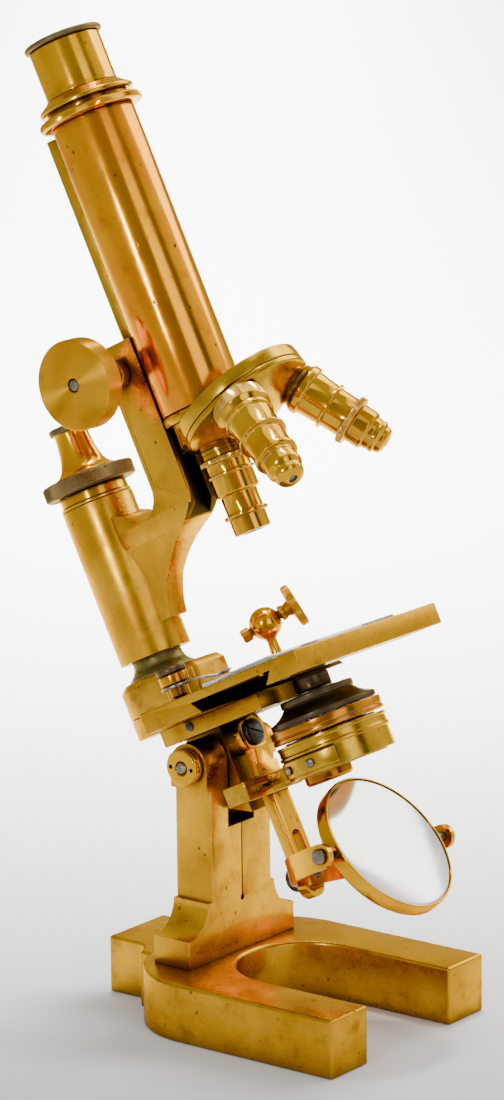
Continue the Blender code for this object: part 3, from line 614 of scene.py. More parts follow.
def foot():
    side = [(PRONG_END, GAP_HALF), (PRONG_END, FOOT_HALF)]
    side += arc((14.5, 15.0), 33.0, 90, 164, 30)
    side += [(-17.9, 24.1), (-22.0, 24.0)]
    side += arc((-29.6, 24.0), 7.6, -10, -90, 14)
    side += [(-43.2, 16.4)]
    inner = arc((38.0, 0.0), GAP_HALF, 270, 90, 64)
    outline = side + [(x, -y) for x, y in reversed(side)] + inner
    made = prism("foot_fine", outline, 0.0, FOOT_HEIGHT, WORLD, rounds=(0.5, 1.3), soft=1.0)
    hole = [(0, -1), (5.2, -1), (5.2, 3.6), (2.6, 3.6), (2.6, 24), (0, 24)]
    for sign in (-1, 1):
        cut(made, turned("foot_hole", hole, axis_frame(WORLD, (0, sign * 20.0, 0)), SMALL, soft=0))
    publish(made, "foot", "satin_x")
    for sign, tag in ((-1, "near"), (1, "far")):
        slotted_screw("foot_screw_" + tag, 4.8, 2.6, 2.0, 26.0, axis_frame(WORLD, (0, sign * 20.0, 3.3),
            (0, 0, -1)))


def pillar():
    half = [(PLINTH_Y, FOOT_HEIGHT + 0.1), (PLINTH_Y, 32.9)]
    half += arc((PLINTH_Y, 44.9), 12.0, 270, 180, 26)[1:]
    half += [(PILLAR_Y, 44.9), (PILLAR_Y, 88.0), (PAD_Y, 88.0), (PAD_Y, 110.0), (FORK_GAP, 110.0),
        (FORK_GAP, 72.0)]
    outline = half + [(-y, z) for y, z in reversed(half)]
    made = prism("pillar_fine", outline, -PILLAR_X, PILLAR_X, WORLD, "yz")
    crown = [(-PILLAR_X - 1, 0), (PILLAR_X + 1, 0), (PILLAR_X + 1, 87.0), (PILLAR_X, 88.0)]
    crown += arc((0, TRUNNION_Z), PILLAR_X, 0, 180, 48) + [(-PILLAR_X, 88.0), (-PILLAR_X - 1, 87.0)]
    combine(made, prism("pillar_crown", crown, -60, 60, WORLD, "xz"), "INTERSECT")
    slit = [(-0.05, 43.0), (0.65, 43.0), (0.65, 80.0), (-0.05, 80.0)]
    cut(made, prism("pillar_slit", slit, -20, 20, WORLD, "yz"))
    cut(made, rod("slit_end", 1.1, -20, 20, axis_frame(WORLD, (0, 0.3, 42.6), (1, 0, 0), (0, 0, 1))))
    cut(made, rod("pin_hole", 3.3, -40, 40, axis_frame(WORLD, (0, 0, TRUNNION_Z), (0, 1, 0))))
    ease(made, 0.4)
    publish(made, "pillar", "satin_z")
    # Painted shade: the gap between the pillar's cheeks is darkened.
    paint_shade_on(made, WORLD, lambda x, y, z: abs(y) < FORK_GAP + 0.05 and z > 71.8)
    pin = [(0, -26.2), (1.6, -25.9), (2.4, -25.0), (2.4, -20.8), (3.0, -20.8), (3.0, 20.8), (2.4, 20.8),
        (2.4, 25.0), (1.6, 25.9), (0, 26.2)]
    across = axis_frame(WORLD, (0, 0, TRUNNION_Z), (0, 1, 0))
    lathe("pivot_pin", "bright_steel", pin, across, MEDIUM, soft=0.5)
    for sign, tag in ((-1, "near"), (1, "far")):
        side = axis_frame(WORLD, (0, sign * (PAD_Y + 0.1), TRUNNION_Z), (0, sign, 0))
        nut = [(2.6, 0), (6.3, 0), (6.3, 0.5), (7.0, 0.6), (7.0, 3.0), (6.75, 3.1), (6.75, 3.3),
            (7.0, 3.4), (7.0, 4.0), (6.6, 4.4), (3.0, 4.4), (2.6, 4.1)]
        nut = turned("pivot_nut_fine_" + tag, nut, side, MEDIUM, soft=0.25)
        for shift in (-4.8, 4.8):
            cut(nut, rod("spanner_hole", 0.85, 2.2, 6.0, axis_frame(side, (shift, 0, 0)), 24))
        publish(nut, "pivot_nut_" + tag, "polish")


# ---- Limb and stage ----

def limb():
    plate = block("hinge_plate_fine", (-6.4, -22.0, 9.3), (44.0, 22.0, 15.5), LIMB, 0.35)
    tongue = [(9.5, 12.0), (-8.4, 12.0)] + arc((0, 0), 8.4, 180, 256, 20) + [(0.3, -20.4), (9.5, -24.3)]
    join(plate, prism("tongue", tongue, -7.4, 7.4, LIMB, "xz"))
    pivot = axis_frame(LIMB, (0, 0, BAR[3]), (1, 0, 0), (0, 0, 1))
    join(plate, rod("bar_seat", 7.0, 5.0, BAR[0] - 0.1, pivot, MEDIUM))
    cut(plate, rod("trunnion_bore", 3.2, -30, 30, axis_frame(LIMB, (0, 0, 0), (0, 1, 0))))
    cut(plate, rod("bar_pocket", 8.5, BAR[0] - 0.1, BAR[1] + 1.0, pivot, MEDIUM))
    cut(plate, rod("bar_tap", 2.8, 7.5, 20.0, pivot))
    cut(plate, rod("condenser_notch", 14.9, -5.0, 30.0, OPTIC, FINE))
    cut(plate, block("plate_joint", (8.6 - 0.12, -30.0, 11.0), (8.6 + 0.12, -21.6, 20.0), LIMB, 0.0))
    ease(plate, 0.3, 2)
    publish(plate, "hinge_plate", "satin_x")
    # Painted shade: the hinge plate's underside is darkened.
    paint_shade_on(plate, LIMB, lambda u, v, w: 9.2 < w < 9.4)
    screw = axis_frame(LIMB, (8.6, -22.05, 13.3), (0, -1, 0))
    slotted_screw("plate_screw", 1.75, 0.7, 1.2, 5.0, screw, 0.45)

    rear, front, half, low, high = STAGE
    outline = [(rear, -half), (front, -half), (front, half), (rear, half), (rear, BOSS_R)]
    outline += arc((COLUMN_U, 0), BOSS_R, 90, 270, 60) + [(rear, -BOSS_R)]
    stage = prism("stage_plate_fine", outline, low, high, LIMB, rounds=(0.3, 0.45), soft=0.9)
    groove = [(36.0, low - 1), (67.0, low - 1), (72.0, 20.2), (68.4, 20.2), (68.4, 19.4), (66.6, 19.4),
        (66.6, 20.2), (31.5, 20.2)]
    cut(stage, prism("stage_groove", groove, -60, 60, LIMB, "xz"))
    cut(stage, rod("stage_aperture", 9.5, 10, 30, OPTIC, MEDIUM))
    for u, v, r in ((21.9, -36, 2.4), (17.5, 30, 2.7)):
        cut(stage, rod("socket", r, 17.2, 30, axis_frame(LIMB, (u, v, 0))))
    ease(stage, 0.25, 2)
    publish(stage, "stage_plate", "satin_x")
    # Painted shade: the walls of the groove under the stage are darkened.
    paint_shade_on(stage, LIMB, lambda u, v, w: 31.3 < u < 72.2 and abs(v) < half - 0.5 and low + 0.1 < w < 20.4)
    glass = block("stage_glass_fine", (35.0, -38.0, high + 0.1), (70.0, 38.0, high + 1.8), LIMB, 0.35)
    publish(glass, "stage_glass", "glass")

    outline = arc((COLUMN_U, 0), BOSS_R, 98, 262, 70)
    outline += [(0.5, -17.5), (3.0, -12.0), (5.0, -10.0), (9.5, -10.0), (11.0, -8.5)]
    outline += [(11.0, 8.5), (9.5, 10.0), (5.0, 10.0), (3.0, 12.0), (0.5, 17.5)]
    rows = [(0.25, high + 0.15), (0.0, high + 0.4), (0.0, 34.05), (0.08, 34.3), (2.28, 36.45), (2.5, 36.6)]
    boss = layered("limb_boss_fine", outline, rows, LIMB, soft=0.5)
    publish(boss, "limb_boss", "column")
    core = [(0, 36.7), (13.2, 36.7), (13.0, 37.4), (11.4, 38.8), (10.3, 40.2), (9.8, 42.0), (9.7, 44.5),
        (9.7, 97.3), (8.7, 98.3), (0, 98.3)]
    lathe("column_core", "verdigris", core, COLUMN, MEDIUM, soft=0.6)


# ---- Arm, fine adjustment and coarse adjustment ----

def arm():
    sleeve = [(10.0, 43.9), (14.06, 43.9), (14.06, 105.8), (10.0, 105.8)]
    made = turned("arm_fine", sleeve, COLUMN, soft=0.4)
    front = [(4.5, 54.5), (6.9, 62.5), (11.6, 70.5), (21.0, 79.0), (31.0, 85.0), (36.6, 91.0)]
    outline = [(-1.5, 54.5)] + flow(front + [(ARM_FRONT, 97.0)], 10)
    outline += [(ARM_FRONT, 97.0), (ARM_FRONT, ARM_TOP), (ARM_REAR, ARM_TOP)]
    outline += arc((11.6, 101.0), 10.1, 0, -150, 40) + [(-1.5, 97.5)]
    blade = prism("arm_blade", outline, -9.0, 9.0, LIMB, "xz")
    waist = [(5.0, 50.0), (5.0, 70.0)]
    waist += flow([(5.0, 70.0), (5.6, 75.5), (7.4, 81.5), (8.7, 86.0), (9.0, 90.0)], 6)
    waist += [(9.0, 90.0), (9.0, 170.0)]
    waist += [(-v, w) for v, w in reversed(waist)]
    combine(blade, prism("arm_waist", waist, -30, 60, LIMB, "yz"), "INTERSECT")
    join(made, blade)
    seat = [(-7.8, 170.0), (-7.8, 91.0)] + arc((0, 87.5), 4.2, 195, 345, 20) + [(7.8, 91.0), (7.8, 170.0)]
    cut(made, prism("tube_seat", seat, 36.1, 60, LIMB, "yz"))
    channel = [(36.1, -4.7), (31.7, -6.3), (31.7, 6.3), (36.1, 4.7), (37.0, 4.7), (37.0, -4.7)]
    cut(made, prism("bar_channel", channel[::-1], 80.5, 170, LIMB))
    axis = axis_frame(LIMB, PINION, (0, 1, 0), (0, 0, 1))
    cut(made, rod("pinion_bore", 4.6, -20, 20, axis))
    for v in (-9.0, 9.0):
        near, far = ARM_REAR + 2.0, ARM_REAR + 2.14
        joint_line = [(near, 102.0), (far, 102.0), (far, 153.0), (near, 153.0)]
        cut(made, prism("arm_joint_line", joint_line, v - 0.15, v + 0.15, LIMB, "xz"))
    ease(made, 0.3, 2)
    publish(made, "arm", "satin_z")
    # Painted shade: the channel for the rack bar is darkened.
    paint_shade_on(made, LIMB, lambda u, v, w: 31.5 < u < 37.9 and abs(v) < 7.9 and w > 80.0)


def fine_adjustment():
    collar = [(3.6, 106.0), (13.9, 106.0), (13.9, 107.0), (13.3, 107.3), (13.3, 110.9), (3.6, 110.9)]
    lathe("column_collar", "polish", collar, COLUMN, soft=0.3)
    disc = [(5.0, 111.3), (17.2, 111.3), (18.0, 112.0), (18.0, 116.6), (17.2, 117.2), (5.0, 117.2)]
    lathe("fine_disc", "patina", disc, COLUMN, soft=0.12, knurl=(111.9, 116.7, 17.8, 150, 0.28))
    flare = [(12.3, 117.4), (12.2, 118.0), (10.4, 119.0), (9.3, 120.2), (8.5, 121.7), (7.8, 123.7),
        (7.3, 126.0), (6.9, 129.0), (6.6, 132.0), (6.5, 134.3)]
    knob = [(0, 100.0), (3.0, 100.0), (3.0, 111.6), (4.7, 111.6), (4.7, 117.4)] + flare
    knob += [(7.6, 134.6), (7.6, 136.7), (7.0, 137.1), (0, 137.1)]
    lathe("fine_knob", "polish", knob, COLUMN, soft=0.3)
    rim = [(6.4, 134.45), (7.62, 134.45), (7.9, 134.9), (7.9, 136.6), (7.4, 137.12), (6.4, 137.12)]
    cap = turned("fine_knob_rim", rim, COLUMN, MEDIUM, soft=0.25)
    trim(cap, "fine_knob", "patina")


def coarse_adjustment():
    axis = axis_frame(LIMB, PINION, (0, 1, 0), (0, 0, 1))
    shaft = [(0, -36.35), (1.5, -36.3), (2.3, -35.7), (2.5, -34.8), (2.5, -8.5), (4.1, -8.5), (4.1, 8.5),
        (2.5, 8.5), (2.5, 34.8), (2.3, 35.7), (1.5, 36.3), (0, 36.35)]
    lathe("pinion_shaft", "bright_steel", shaft, axis, SMALL, soft=0.2)
    for sign, tag in ((-1, "near"), (1, "far")):
        place = axis_frame(LIMB, PINION, (0, sign, 0), (0, 0, 1))
        bush = [(2.8, 9.1), (5.3, 9.1), (5.3, 13.2), (4.9, 13.5), (4.9, 14.4), (5.3, 14.7), (5.3, 27.9),
            (2.8, 27.9)]
        lathe("pinion_bush", "red", bush, place, MEDIUM, soft=0.3, tag=tag)
        knob = [(2.6, 28.1), (16.3, 28.1), (17.0, 28.7), (17.0, 35.8), (16.4, 36.4), (3.0, 36.4), (2.6, 36.0)]
        lathe("coarse_knob", "satin_ring", knob, place, soft=0.35, tag=tag)


# ---- Optical body ----

def body_tube():
    tube = [(14.9, 122.0), (16.0, 122.0), (16.0, 236.0), (14.9, 236.0)]
    lathe("body_tube", "tube", tube, OPTIC, 160, soft=0.3)
    section = [(36.6, -4.2), (36.6, 4.2), (32.2, 5.8), (32.2, -5.8)]
    bar = prism("rack_bar_fine", section, 127.0, 235.0, LIMB, rounds=(0.3, 0.3), soft=0.35)
    publish(bar, "rack_bar", "green_gold")
    place = axis_frame(LIMB, (32.2, 0, 231.0), (-1, 0, 0), (0, 0, 1))
    pin = turned("rack_pin", [(0, -0.4), (1.0, -0.4), (1.0, 0.35), (0.6, 0.6), (0, 0.65)], place, 32, 0.15)
    trim(pin, "rack_bar", "steel")
    ring = [(15.0, 236.1), (17.6, 236.1), (19.3, 236.3), (20.0, 236.9), (20.0, 238.8), (19.3, 239.5),
        (16.4, 239.8), (15.5, 240.0), (15.5, 241.5), (15.0, 241.5)]
    lathe("tube_ring", "polish", ring, OPTIC, soft=0.25, knurl=(236.8, 238.9, 19.8, 170, 0.16))
    draw = [(13.2, 170.0), (14.6, 170.0), (14.6, 241.6), (17.6, 241.6), (18.3, 242.0), (18.3, 243.2),
        (17.6, 243.9), (15.4, 245.4), (14.4, 246.4), (13.2, 246.4)]
    lathe("draw_tube", "green_gold", draw, OPTIC, soft=0.35)
    band = [(15.55, 239.95), (15.7, 239.95), (15.7, 241.45), (15.55, 241.45)]
    trim(turned("neck_band", band, OPTIC, soft=0.05), "tube_ring", "red")
    barrel = [(11.6, 214.0), (12.9, 214.0), (12.9, 246.6), (13.9, 246.6), (13.75, 247.6), (13.7, 248.6),
        (13.7, 265.6), (13.3, 266.0), (11.6, 266.0)]
    lathe("eyepiece_barrel", "polish", barrel, OPTIC, soft=0.3)
    cap = [(5.0, 266.1), (14.5, 266.1), (15.1, 266.6), (15.1, 267.6), (14.7, 268.2), (13.4, 268.5),
        (9.5, 268.2), (6.4, 267.4), (5.0, 266.9)]
    lathe("eyepiece_cap", "patina", cap, OPTIC, soft=0.4)
    lens = [(0, 262.3), (4.0, 262.4), (8.0, 262.65), (11.2, 262.9), (11.2, 264.6), (8.0, 265.1),
        (4.0, 265.45), (0, 265.6)]
    lathe("eye_lens", "glass", lens, OPTIC, MEDIUM, soft=0.1)


def nosepiece():
    nose = axis_frame(LIMB, (OPTIC_U, 0, APEX_W), (math.sin(NOSE_TILT), 0, -math.cos(NOSE_TILT)), (0, 1, 0))
    band = [(0, NOSE_TOP), (NOSE_R, NOSE_TOP), (NOSE_R, NOSE_SPLIT - 0.1), (0, NOSE_SPLIT - 0.1)]
    plate = turned("nose_plate_fine", band, nose, FINE, soft=0.5)
    neck = [(0, 96), (14.0, 96), (14.0, 117.9), (16.0, 118.0), (16.4, 118.8), (16.4, 120.6),
        (16.0, 121.6), (0, 121.7)]
    neck = turned("nose_neck", neck, OPTIC, soft=0.4)
    cut(neck, block("nose_neck_trim", (-60, -60, NOSE_SPLIT - 3.0), (60, 60, 110), nose, 0.0))
    join(plate, neck)
    cut(plate, rod("nose_light_way", 9.0, 90, 130, OPTIC, MEDIUM))
    cut(plate, rod("nose_pivot_tap", 2.7, NOSE_TOP + 1.5, 70, nose))
    publish(plate, "nose_plate", "green_gold")
    s = NOSE_SPLIT
    disc = [(2.7, s + 0.15), (NOSE_R, s + 0.15), (NOSE_R, s + 1.9), (NOSE_R - 0.5, s + 2.4),
        (8.5, s + 9.1), (2.7, s + 9.1)]
    disc = turned("nose_disc_fine", disc, nose, soft=0.3)
    for place in objective_frames():
        join(disc, rod("nose_boss", 8.4, 59.3, 60.6, place, MEDIUM))
        cut(disc, rod("nose_way", 7.0, 50.0, 70.0, place, MEDIUM))
    ease(disc, 0.2, 2, 40)
    publish(disc, "nose_disc", "green_gold")
    screw = [(0, NOSE_TOP + 2.0), (2.3, NOSE_TOP + 2.0), (2.3, s + 9.2), (5.4, s + 9.2), (5.4, s + 10.7),
        (4.6, s + 11.3), (0, s + 11.5)]
    lathe("nose_screw", "bright_steel", screw, nose, MEDIUM, soft=0.3)


def objective_frames():
    """The frames of the low, high and middle objective, from the point where their axes meet."""
    ways = ((0, 0, -1), (0.496, -0.306, -0.8125), (0.496, 0.306, -0.8125))
    return [axis_frame(LIMB, (OPTIC_U, 0, APEX_W), way, (0, 1, 0)) for way in ways]


def objectives():
    first, second, third = objective_frames()
    thread = [(4.0, 58.2), (6.6, 58.2), (6.6, 60.7)]
    low = thread + [(8.6, 60.7), (8.6, 62.5), (9.3, 62.7), (9.7, 63.0), (9.7, 64.6), (9.3, 64.9),
        (8.6, 65.1), (8.6, 68.8), (9.4, 69.0), (9.4, 69.9), (8.4, 70.1), (8.4, 76.6), (8.0, 77.2),
        (7.0, 77.5), (7.0, 84.4), (8.2, 84.6), (8.45, 84.8), (8.45, 85.9), (8.1, 86.1), (7.05, 86.3),
        (7.05, 92.2), (6.7, 92.5), (4.4, 92.5), (4.0, 92.1)]
    lathe("objective_low", "objective", low, first, soft=0.22, knurl=(62.95, 64.65, 9.6, 110, 0.13))
    high = thread + [(9.8, 60.7), (10.5, 61.4), (10.5, 66.0), (10.2, 66.5), (9.2, 67.6), (8.6, 68.4),
        (9.4, 68.6), (9.6, 68.9), (9.6, 70.3), (9.3, 70.6), (8.6, 70.9), (8.6, 79.6), (9.4, 79.8),
        (9.4, 80.8), (8.6, 81.0), (7.8, 81.5), (7.8, 89.6), (8.3, 89.8), (8.3, 91.2), (7.9, 91.6),
        (6.9, 91.9), (6.9, 93.2), (6.6, 93.3), (6.6, 94.0), (6.9, 94.1), (6.9, 97.4), (6.4, 98.4),
        (5.6, 99.4), (5.6, 101.2), (4.9, 102.4), (3.4, 103.2), (2.1, 103.5), (1.6, 103.3), (1.6, 102.95),
        (4.0, 102.75)]
    lathe("objective_high", "objective", high, second, soft=0.22, knurl=(61.3, 66.1, 10.4, 120, 0.13))
    mid = thread + [(8.8, 60.7), (9.8, 62.0), (9.8, 64.2), (9.4, 64.7), (8.6, 64.9), (8.2, 73.4),
        (9.1, 73.6), (9.1, 74.6), (7.9, 74.8), (7.9, 82.0), (9.4, 82.3), (9.7, 82.7), (9.7, 84.5),
        (9.4, 84.9), (7.6, 85.4), (7.6, 90.6), (7.2, 91.2), (6.4, 91.8), (6.4, 93.4), (6.1, 93.5),
        (6.1, 94.2), (6.4, 94.3), (6.4, 95.6), (5.2, 96.4), (5.2, 97.6), (4.6, 98.5), (3.2, 99.1),
        (2.1, 99.3), (1.6, 99.1), (1.6, 98.6), (4.0, 98.4)]
    lathe("objective_mid", "objective", mid, third, soft=0.22, knurl=(82.6, 84.6, 9.6, 110, 0.13))
    for tag, place, end in (("low", first, 91.4), ("high", second, 102.6), ("mid", third, 98.2)):
        lens = [(0, end - 2.4), (3.7, end - 2.4), (3.7, end - 0.6), (2.4, end - 0.25), (1.2, end - 0.05),
            (0, end)]
        lathe("front_lens", "glass", lens, place, SMALL, soft=0.1, tag=tag)


# ---- Stage fittings ----

def stage_clip():
    post = axis_frame(LIMB, (21.9, -36.0, 0))
    body = [(0, 17.6), (2.1, 17.6), (2.1, 23.8), (2.4, 24.3), (3.1, 24.6), (3.1, 28.9), (5.2, 29.2),
        (5.5, 29.6), (5.5, 32.6), (5.1, 33.0), (0, 33.0)]
    lathe("clip_post", "red", body, post, MEDIUM, soft=0.25)
    lid = [(0, 33.2), (5.2, 33.2), (5.7, 33.6), (5.7, 35.0), (5.2, 35.5), (3.2, 35.7), (0, 35.7)]
    lathe("clip_cap", "bronze", lid, post, MEDIUM, soft=0.3)
    eye = [(3.5, 27.9), (5.8, 27.9), (5.8, 28.8), (3.5, 28.8)]
    spring = turned("clip_spring_fine", eye, post, MEDIUM, soft=0.15)
    bend = [(8.0, 28.05), (12.0, 27.6), (17.0, 26.6), (21.5, 25.85), (23.4, 25.9), (25.5, 26.4)]
    leaf = [(4.6, 28.0)] + flow(bend, 6) + [(25.5, 26.4)]
    leaf += [(x, z + 0.6) for x, z in reversed(leaf)]
    join(spring, prism("clip_leaf", leaf, -2.6, 2.6, post, "xz", rounds=(0.12, 0.12)))
    publish(spring, "clip_spring", "bright_steel")


def stop_post():
    post = axis_frame(LIMB, (17.5, 30.0, 0))
    ball_r = 6.3
    ball_w = 40.2
    stem = [(0, 17.6), (2.4, 17.6), (2.4, 25.4), (2.9, 25.7), (2.9, 26.6), (2.3, 27.0), (1.9, 33.0),
        (2.2, 34.1)]
    for a in range(-66, 89, 7):
        angle = math.radians(a)
        stem.append((ball_r * math.cos(angle), ball_w + ball_r * math.sin(angle)))
    made = turned("ball_post_fine", stem + [(0, ball_w + ball_r)], post, MEDIUM, soft=0.2)
    axis = axis_frame(LIMB, (17.5, 30.0, ball_w), (0.766, 0.643, 0.2), (0, 0, 1))
    cut(made, rod("ball_bore", 2.1, -10, 10, axis))
    publish(made, "ball_post", "polish")
    screw = [(0, -10.2), (2.3, -10.2), (2.7, -9.6), (2.7, -6.8), (1.8, -6.6), (1.8, 6.4), (3.0, 6.8),
        (3.0, 8.2), (2.4, 9.0), (3.2, 11.0), (8.0, 11.4), (8.5, 11.9), (8.5, 14.1), (8.0, 14.6), (0, 14.6)]
    lathe("thumbscrew", "satin_ring", screw, axis, MEDIUM, soft=0.2, knurl=(11.8, 14.2, 8.4, 64, 0.22))


# ---- Tailpiece, substage and mirror ----

def tailpiece():
    rear, front, half, top = BAR
    boss = 8.0
    join_w = top - math.sqrt(boss ** 2 - half ** 2)
    outline = arc((0, top), boss, -47, 227, 48)
    outline += [(-half, join_w)] + arc((0, -62.4 + half), half, 180, 360, 30) + [(half, join_w)]
    bar = prism("tail_bar_fine", outline, rear, front, LIMB, "yz", rounds=(0.3, 0.35))
    slot = arc((0, -38.5), 2.5, 0, 180, 20) + arc((0, -54.5), 2.5, 180, 360, 20)
    cut(bar, prism("bar_slot", slot, 0, 40, LIMB, "yz"))
    cut(bar, block("bar_step", (17.8, -20, -8.7), (30, 20, 30), LIMB, 0.0))
    pivot = axis_frame(LIMB, (0, 0, top), (1, 0, 0), (0, 0, 1))
    recess = [(0, 10), (2.9, 10), (2.9, 17.2), (5.4, 17.2), (5.4, 24), (0, 24)]
    cut(bar, turned("bar_recess", recess, pivot, MEDIUM, soft=0))
    ease(bar, 0.18, 2)
    publish(bar, "tail_bar", "polish")
    screw = axis_frame(LIMB, (17.5, 0, top), (1, 0, 0), (0, 0.5, 1))
    slotted_screw("tail_screw", 5.0, 2.2, 2.5, 8.6, screw, 1.1, 0.4)


def substage():
    ring = [(18.0, -19.9), (20.7, -19.9), (20.7, -12.2), (21.4, -11.9), (21.4, -11.0), (20.9, -10.6),
        (20.9, -8.2), (21.2, -7.9), (21.2, -6.9), (18.0, -6.9)]
    body = turned("substage_carriage_fine", ring, OPTIC, FINE, soft=0.2)
    join(body, block("substage_arm", (21.0, -8.0, -18.9), (34.0, 8.0, -13.6), LIMB, 0.4))
    join(body, block("substage_block", (12.2, -22.0, -20.6), (23.0, 11.5, -13.0), LIMB, 0.45))
    cut(body, rod("substage_bore", 18.0, -30, 0, OPTIC, FINE))
    cut(body, block("substage_slit", (5.0, -19.0, -17.4), (40.0, -8.2, -16.3), LIMB, 0.0))
    cut(body, block("substage_way", (14.5, -5.8, -40), (19.8, 5.8, 0), LIMB, 0.0))
    ease(body, 0.2, 2, 40)
    publish(body, "substage_carriage", "green_gold")
    sweep = arc((OPTIC_U, 0), 22.4, 237, 307, 40) + arc((OPTIC_U, 0), 21.0, 307, 237, 40)
    strap = prism("substage_strap_fine", sweep, -18.6, -12.6, LIMB, rounds=(0.35, 0.35))
    publish(strap, "substage_strap", "green_gold")
    for tag, angle in (("rear", 249.0), ("front", 279.0)):
        way = (math.cos(math.radians(angle)), math.sin(math.radians(angle)), 0)
        screw = axis_frame(LIMB, (OPTIC_U + way[0] * 22.7, way[1] * 22.7, -15.6), way, (0, 0, 1))
        slotted_screw("strap_screw_" + tag, 1.7, 1.1, 0.6, 0.05, screw, 0.4, 0.5, "bright_steel")

    wall = [(6.5, -20.4), (17.6, -20.4), (17.6, -6.2), (6.5, -6.2)]
    mount = turned("condenser_mount_fine", wall, OPTIC, soft=0.3)
    base = axis_frame(LIMB, (44.5, 0, 0))
    step = [(0, -24.0), (7.8, -24.0), (8.6, -23.7), (9.2, -22.8), (9.2, -17.0), (0, -17.0)]
    join(mount, turned("condenser_foot", step, base, MEDIUM, soft=0.2))
    cut(mount, rod("condenser_foot_bore", 5.0, -30.0, -10.0, base))
    ease(mount, 0.2, 2, 40)
    publish(mount, "condenser_mount", "red")
    collar = [(14.0, -5.9), (21.2, -5.9), (21.6, -5.5), (21.6, -4.4), (21.2, -4.2), (21.2, -3.8),
        (21.6, -3.6), (21.6, -1.2), (21.2, -0.9), (14.0, -0.9)]
    lathe("condenser_collar", "red", collar, OPTIC, soft=0.2)
    head = [(5.0, -0.6), (20.0, -0.6), (20.3, -0.3), (20.3, 1.4), (19.8, 1.7), (17.6, 2.6), (15.4, 4.0),
        (13.6, 5.8), (14.2, 6.2), (14.2, 8.2), (13.6, 8.6), (7.0, 8.9), (5.0, 8.9)]
    lathe("condenser_head", "bronze", head, OPTIC, soft=0.25, knurl=(-0.4, 1.5, 20.0, 150, 0.14))
    cap = [(3.6, 9.2), (6.3, 9.2), (6.9, 9.8), (6.9, 14.2), (6.3, 15.0), (3.6, 15.0)]
    lathe("condenser_cap", "bronze", cap, OPTIC, MEDIUM, soft=0.25, knurl=(9.9, 14.1, 6.8, 56, 0.16))
    lens = [(0, 10.4), (3.3, 10.4), (3.3, 13.6), (2.7, 14.2), (1.5, 14.7), (0, 14.9)]
    lathe("condenser_lens", "glass", lens, OPTIC, SMALL, soft=0.1)


def mirror():
    yoke = axis_frame(LIMB, PIVOT, (0, 0.140, 0.990))
    inner = FORK_R - 2.1
    outline = arc((0, 0), FORK_R, 90, 270, 96) + [(4.6, -FORK_R), (4.6, -inner)]
    outline += arc((0, 0), inner, 270, 90, 96) + [(4.6, inner), (4.6, FORK_R)]
    fork = prism("mirror_fork_fine", outline, -4.6, 4.6, yoke)
    ends = [(-60.0, -9.0), (0.0, -9.0)] + arc((0, 0), 4.6, -90, 90, 32) + [(0.0, 9.0), (-60.0, 9.0)]
    combine(fork, prism("fork_ends", ends, -60, 60, yoke, "xz"), "INTERSECT")
    cut(fork, rod("fork_pivot_holes", 2.0, -50, 50, axis_frame(LIMB, PIVOT, MIRROR_AXIS)))
    behind = axis_frame(LIMB, (0, 0, PIVOT[2]), (1, 0, 0), (0, 0, 1))
    cut(fork, rod("fork_bolt_hole", 2.4, 10, 30, behind))
    ease(fork, 0.3, 3)
    publish(fork, "mirror_fork", "polish")
    bolt = [(0, 9.6), (3.4, 9.6), (4.2, 9.9), (4.8, 10.6), (4.8, 14.4), (2.1, 14.5), (2.1, 22.0),
        (1.5, 22.4), (0, 22.4)]
    lathe("mirror_bolt", "steel", bolt, behind, SMALL, soft=0.2)
    for sign, tag in ((-1, "near"), (1, "far")):
        pin = axis_frame(LIMB, PIVOT, [sign * a for a in MIRROR_AXIS], (0, 0, 1))
        head = [(0, 27.4), (1.0, 27.4), (1.0, 31.0), (1.7, 31.0), (1.7, 36.8), (2.6, 36.8), (2.9, 37.1),
            (2.9, 37.8), (2.6, 38.3), (1.6, 38.6), (0, 38.7)]
        made = turned("mirror_pivot_fine_" + tag, head, pin, SMALL, soft=0.15)
        cut(made, block("pivot_slot", (-0.42, -5, 37.8), (0.42, 5, 40), pin, 0.0))
        publish(made, "mirror_pivot_" + tag, "bright_steel")
    face = axis_frame(LIMB, MIRROR_CENTRE, MIRROR_NORMAL, (0, 0, 1))
    r = CELL_R
    dish = [(0, -7.0), (r - 5.0, -7.0), (r - 2.6, -6.85), (r - 0.9, -6.3), (r - 0.15, -5.5), (r, -4.8),
        (r, -0.6), (r - 0.2, 0.0), (r - 0.5, 0.2), (r - 0.8, 0.2), (r - 0.9, 0.0), (r - 0.9, -1.6),
        (0, -1.6)]
    cell = turned("mirror_cell_fine", dish, face, FINE, soft=0.12)
    across = axis_frame(LIMB, PIVOT, MIRROR_AXIS)
    for low, high in ((-40, -26.9), (26.9, 40)):
        cut(cell, rod("mirror_pivot_bore", 1.3, low, high, across, 24))
    publish(cell, "mirror_cell", "polish")
    glass = [(0, -1.3), (r - 1.2, -1.3), (r - 1.2, -0.35), (r - 2.0, -0.1), (0, -0.1)]
    lathe("mirror_glass", "mirror", glass, face, soft=0.03)


foot()
pillar()
limb()
arm()
fine_adjustment()
coarse_adjustment()
body_tube()
nosepiece()
objectives()
stage_clip()
stop_post()
tailpiece()
substage()
mirror()


# ---- Studio ----

AZIMUTH = 37.9
ELEVATION = 13.3
ROLL = -0.76
DISTANCE = 1.645
LENS = 145.1
TARGET = Vector((0.0, 0.0, 0.1676))
ROOM_STRENGTH = 1.75
CEILING = 0.30
# Level of the room at each direction, in degrees to the right of the viewer's back
ROOM = (
    (-180, 0.5), (-150, 0.36), (-120, 0.3), (-30, 0.34), (-16, 0.2), (8, 0.15), (13, 0.16), (17, 1.1),
    (40, 1.1), (47, 0.08), (60, 0.06), (68, 0.45), (100, 0.6), (125, 0.5), (145, 0.3), (165, 0.4),
    (180, 0.5))


def direction(azimuth, elevation):
    """From the object towards a viewer at this azimuth and elevation, in degrees."""
    a, e = math.radians(azimuth), math.radians(elevation)
    return Vector((math.sin(a) * math.cos(e), -math.cos(a) * math.cos(e), math.sin(e)))


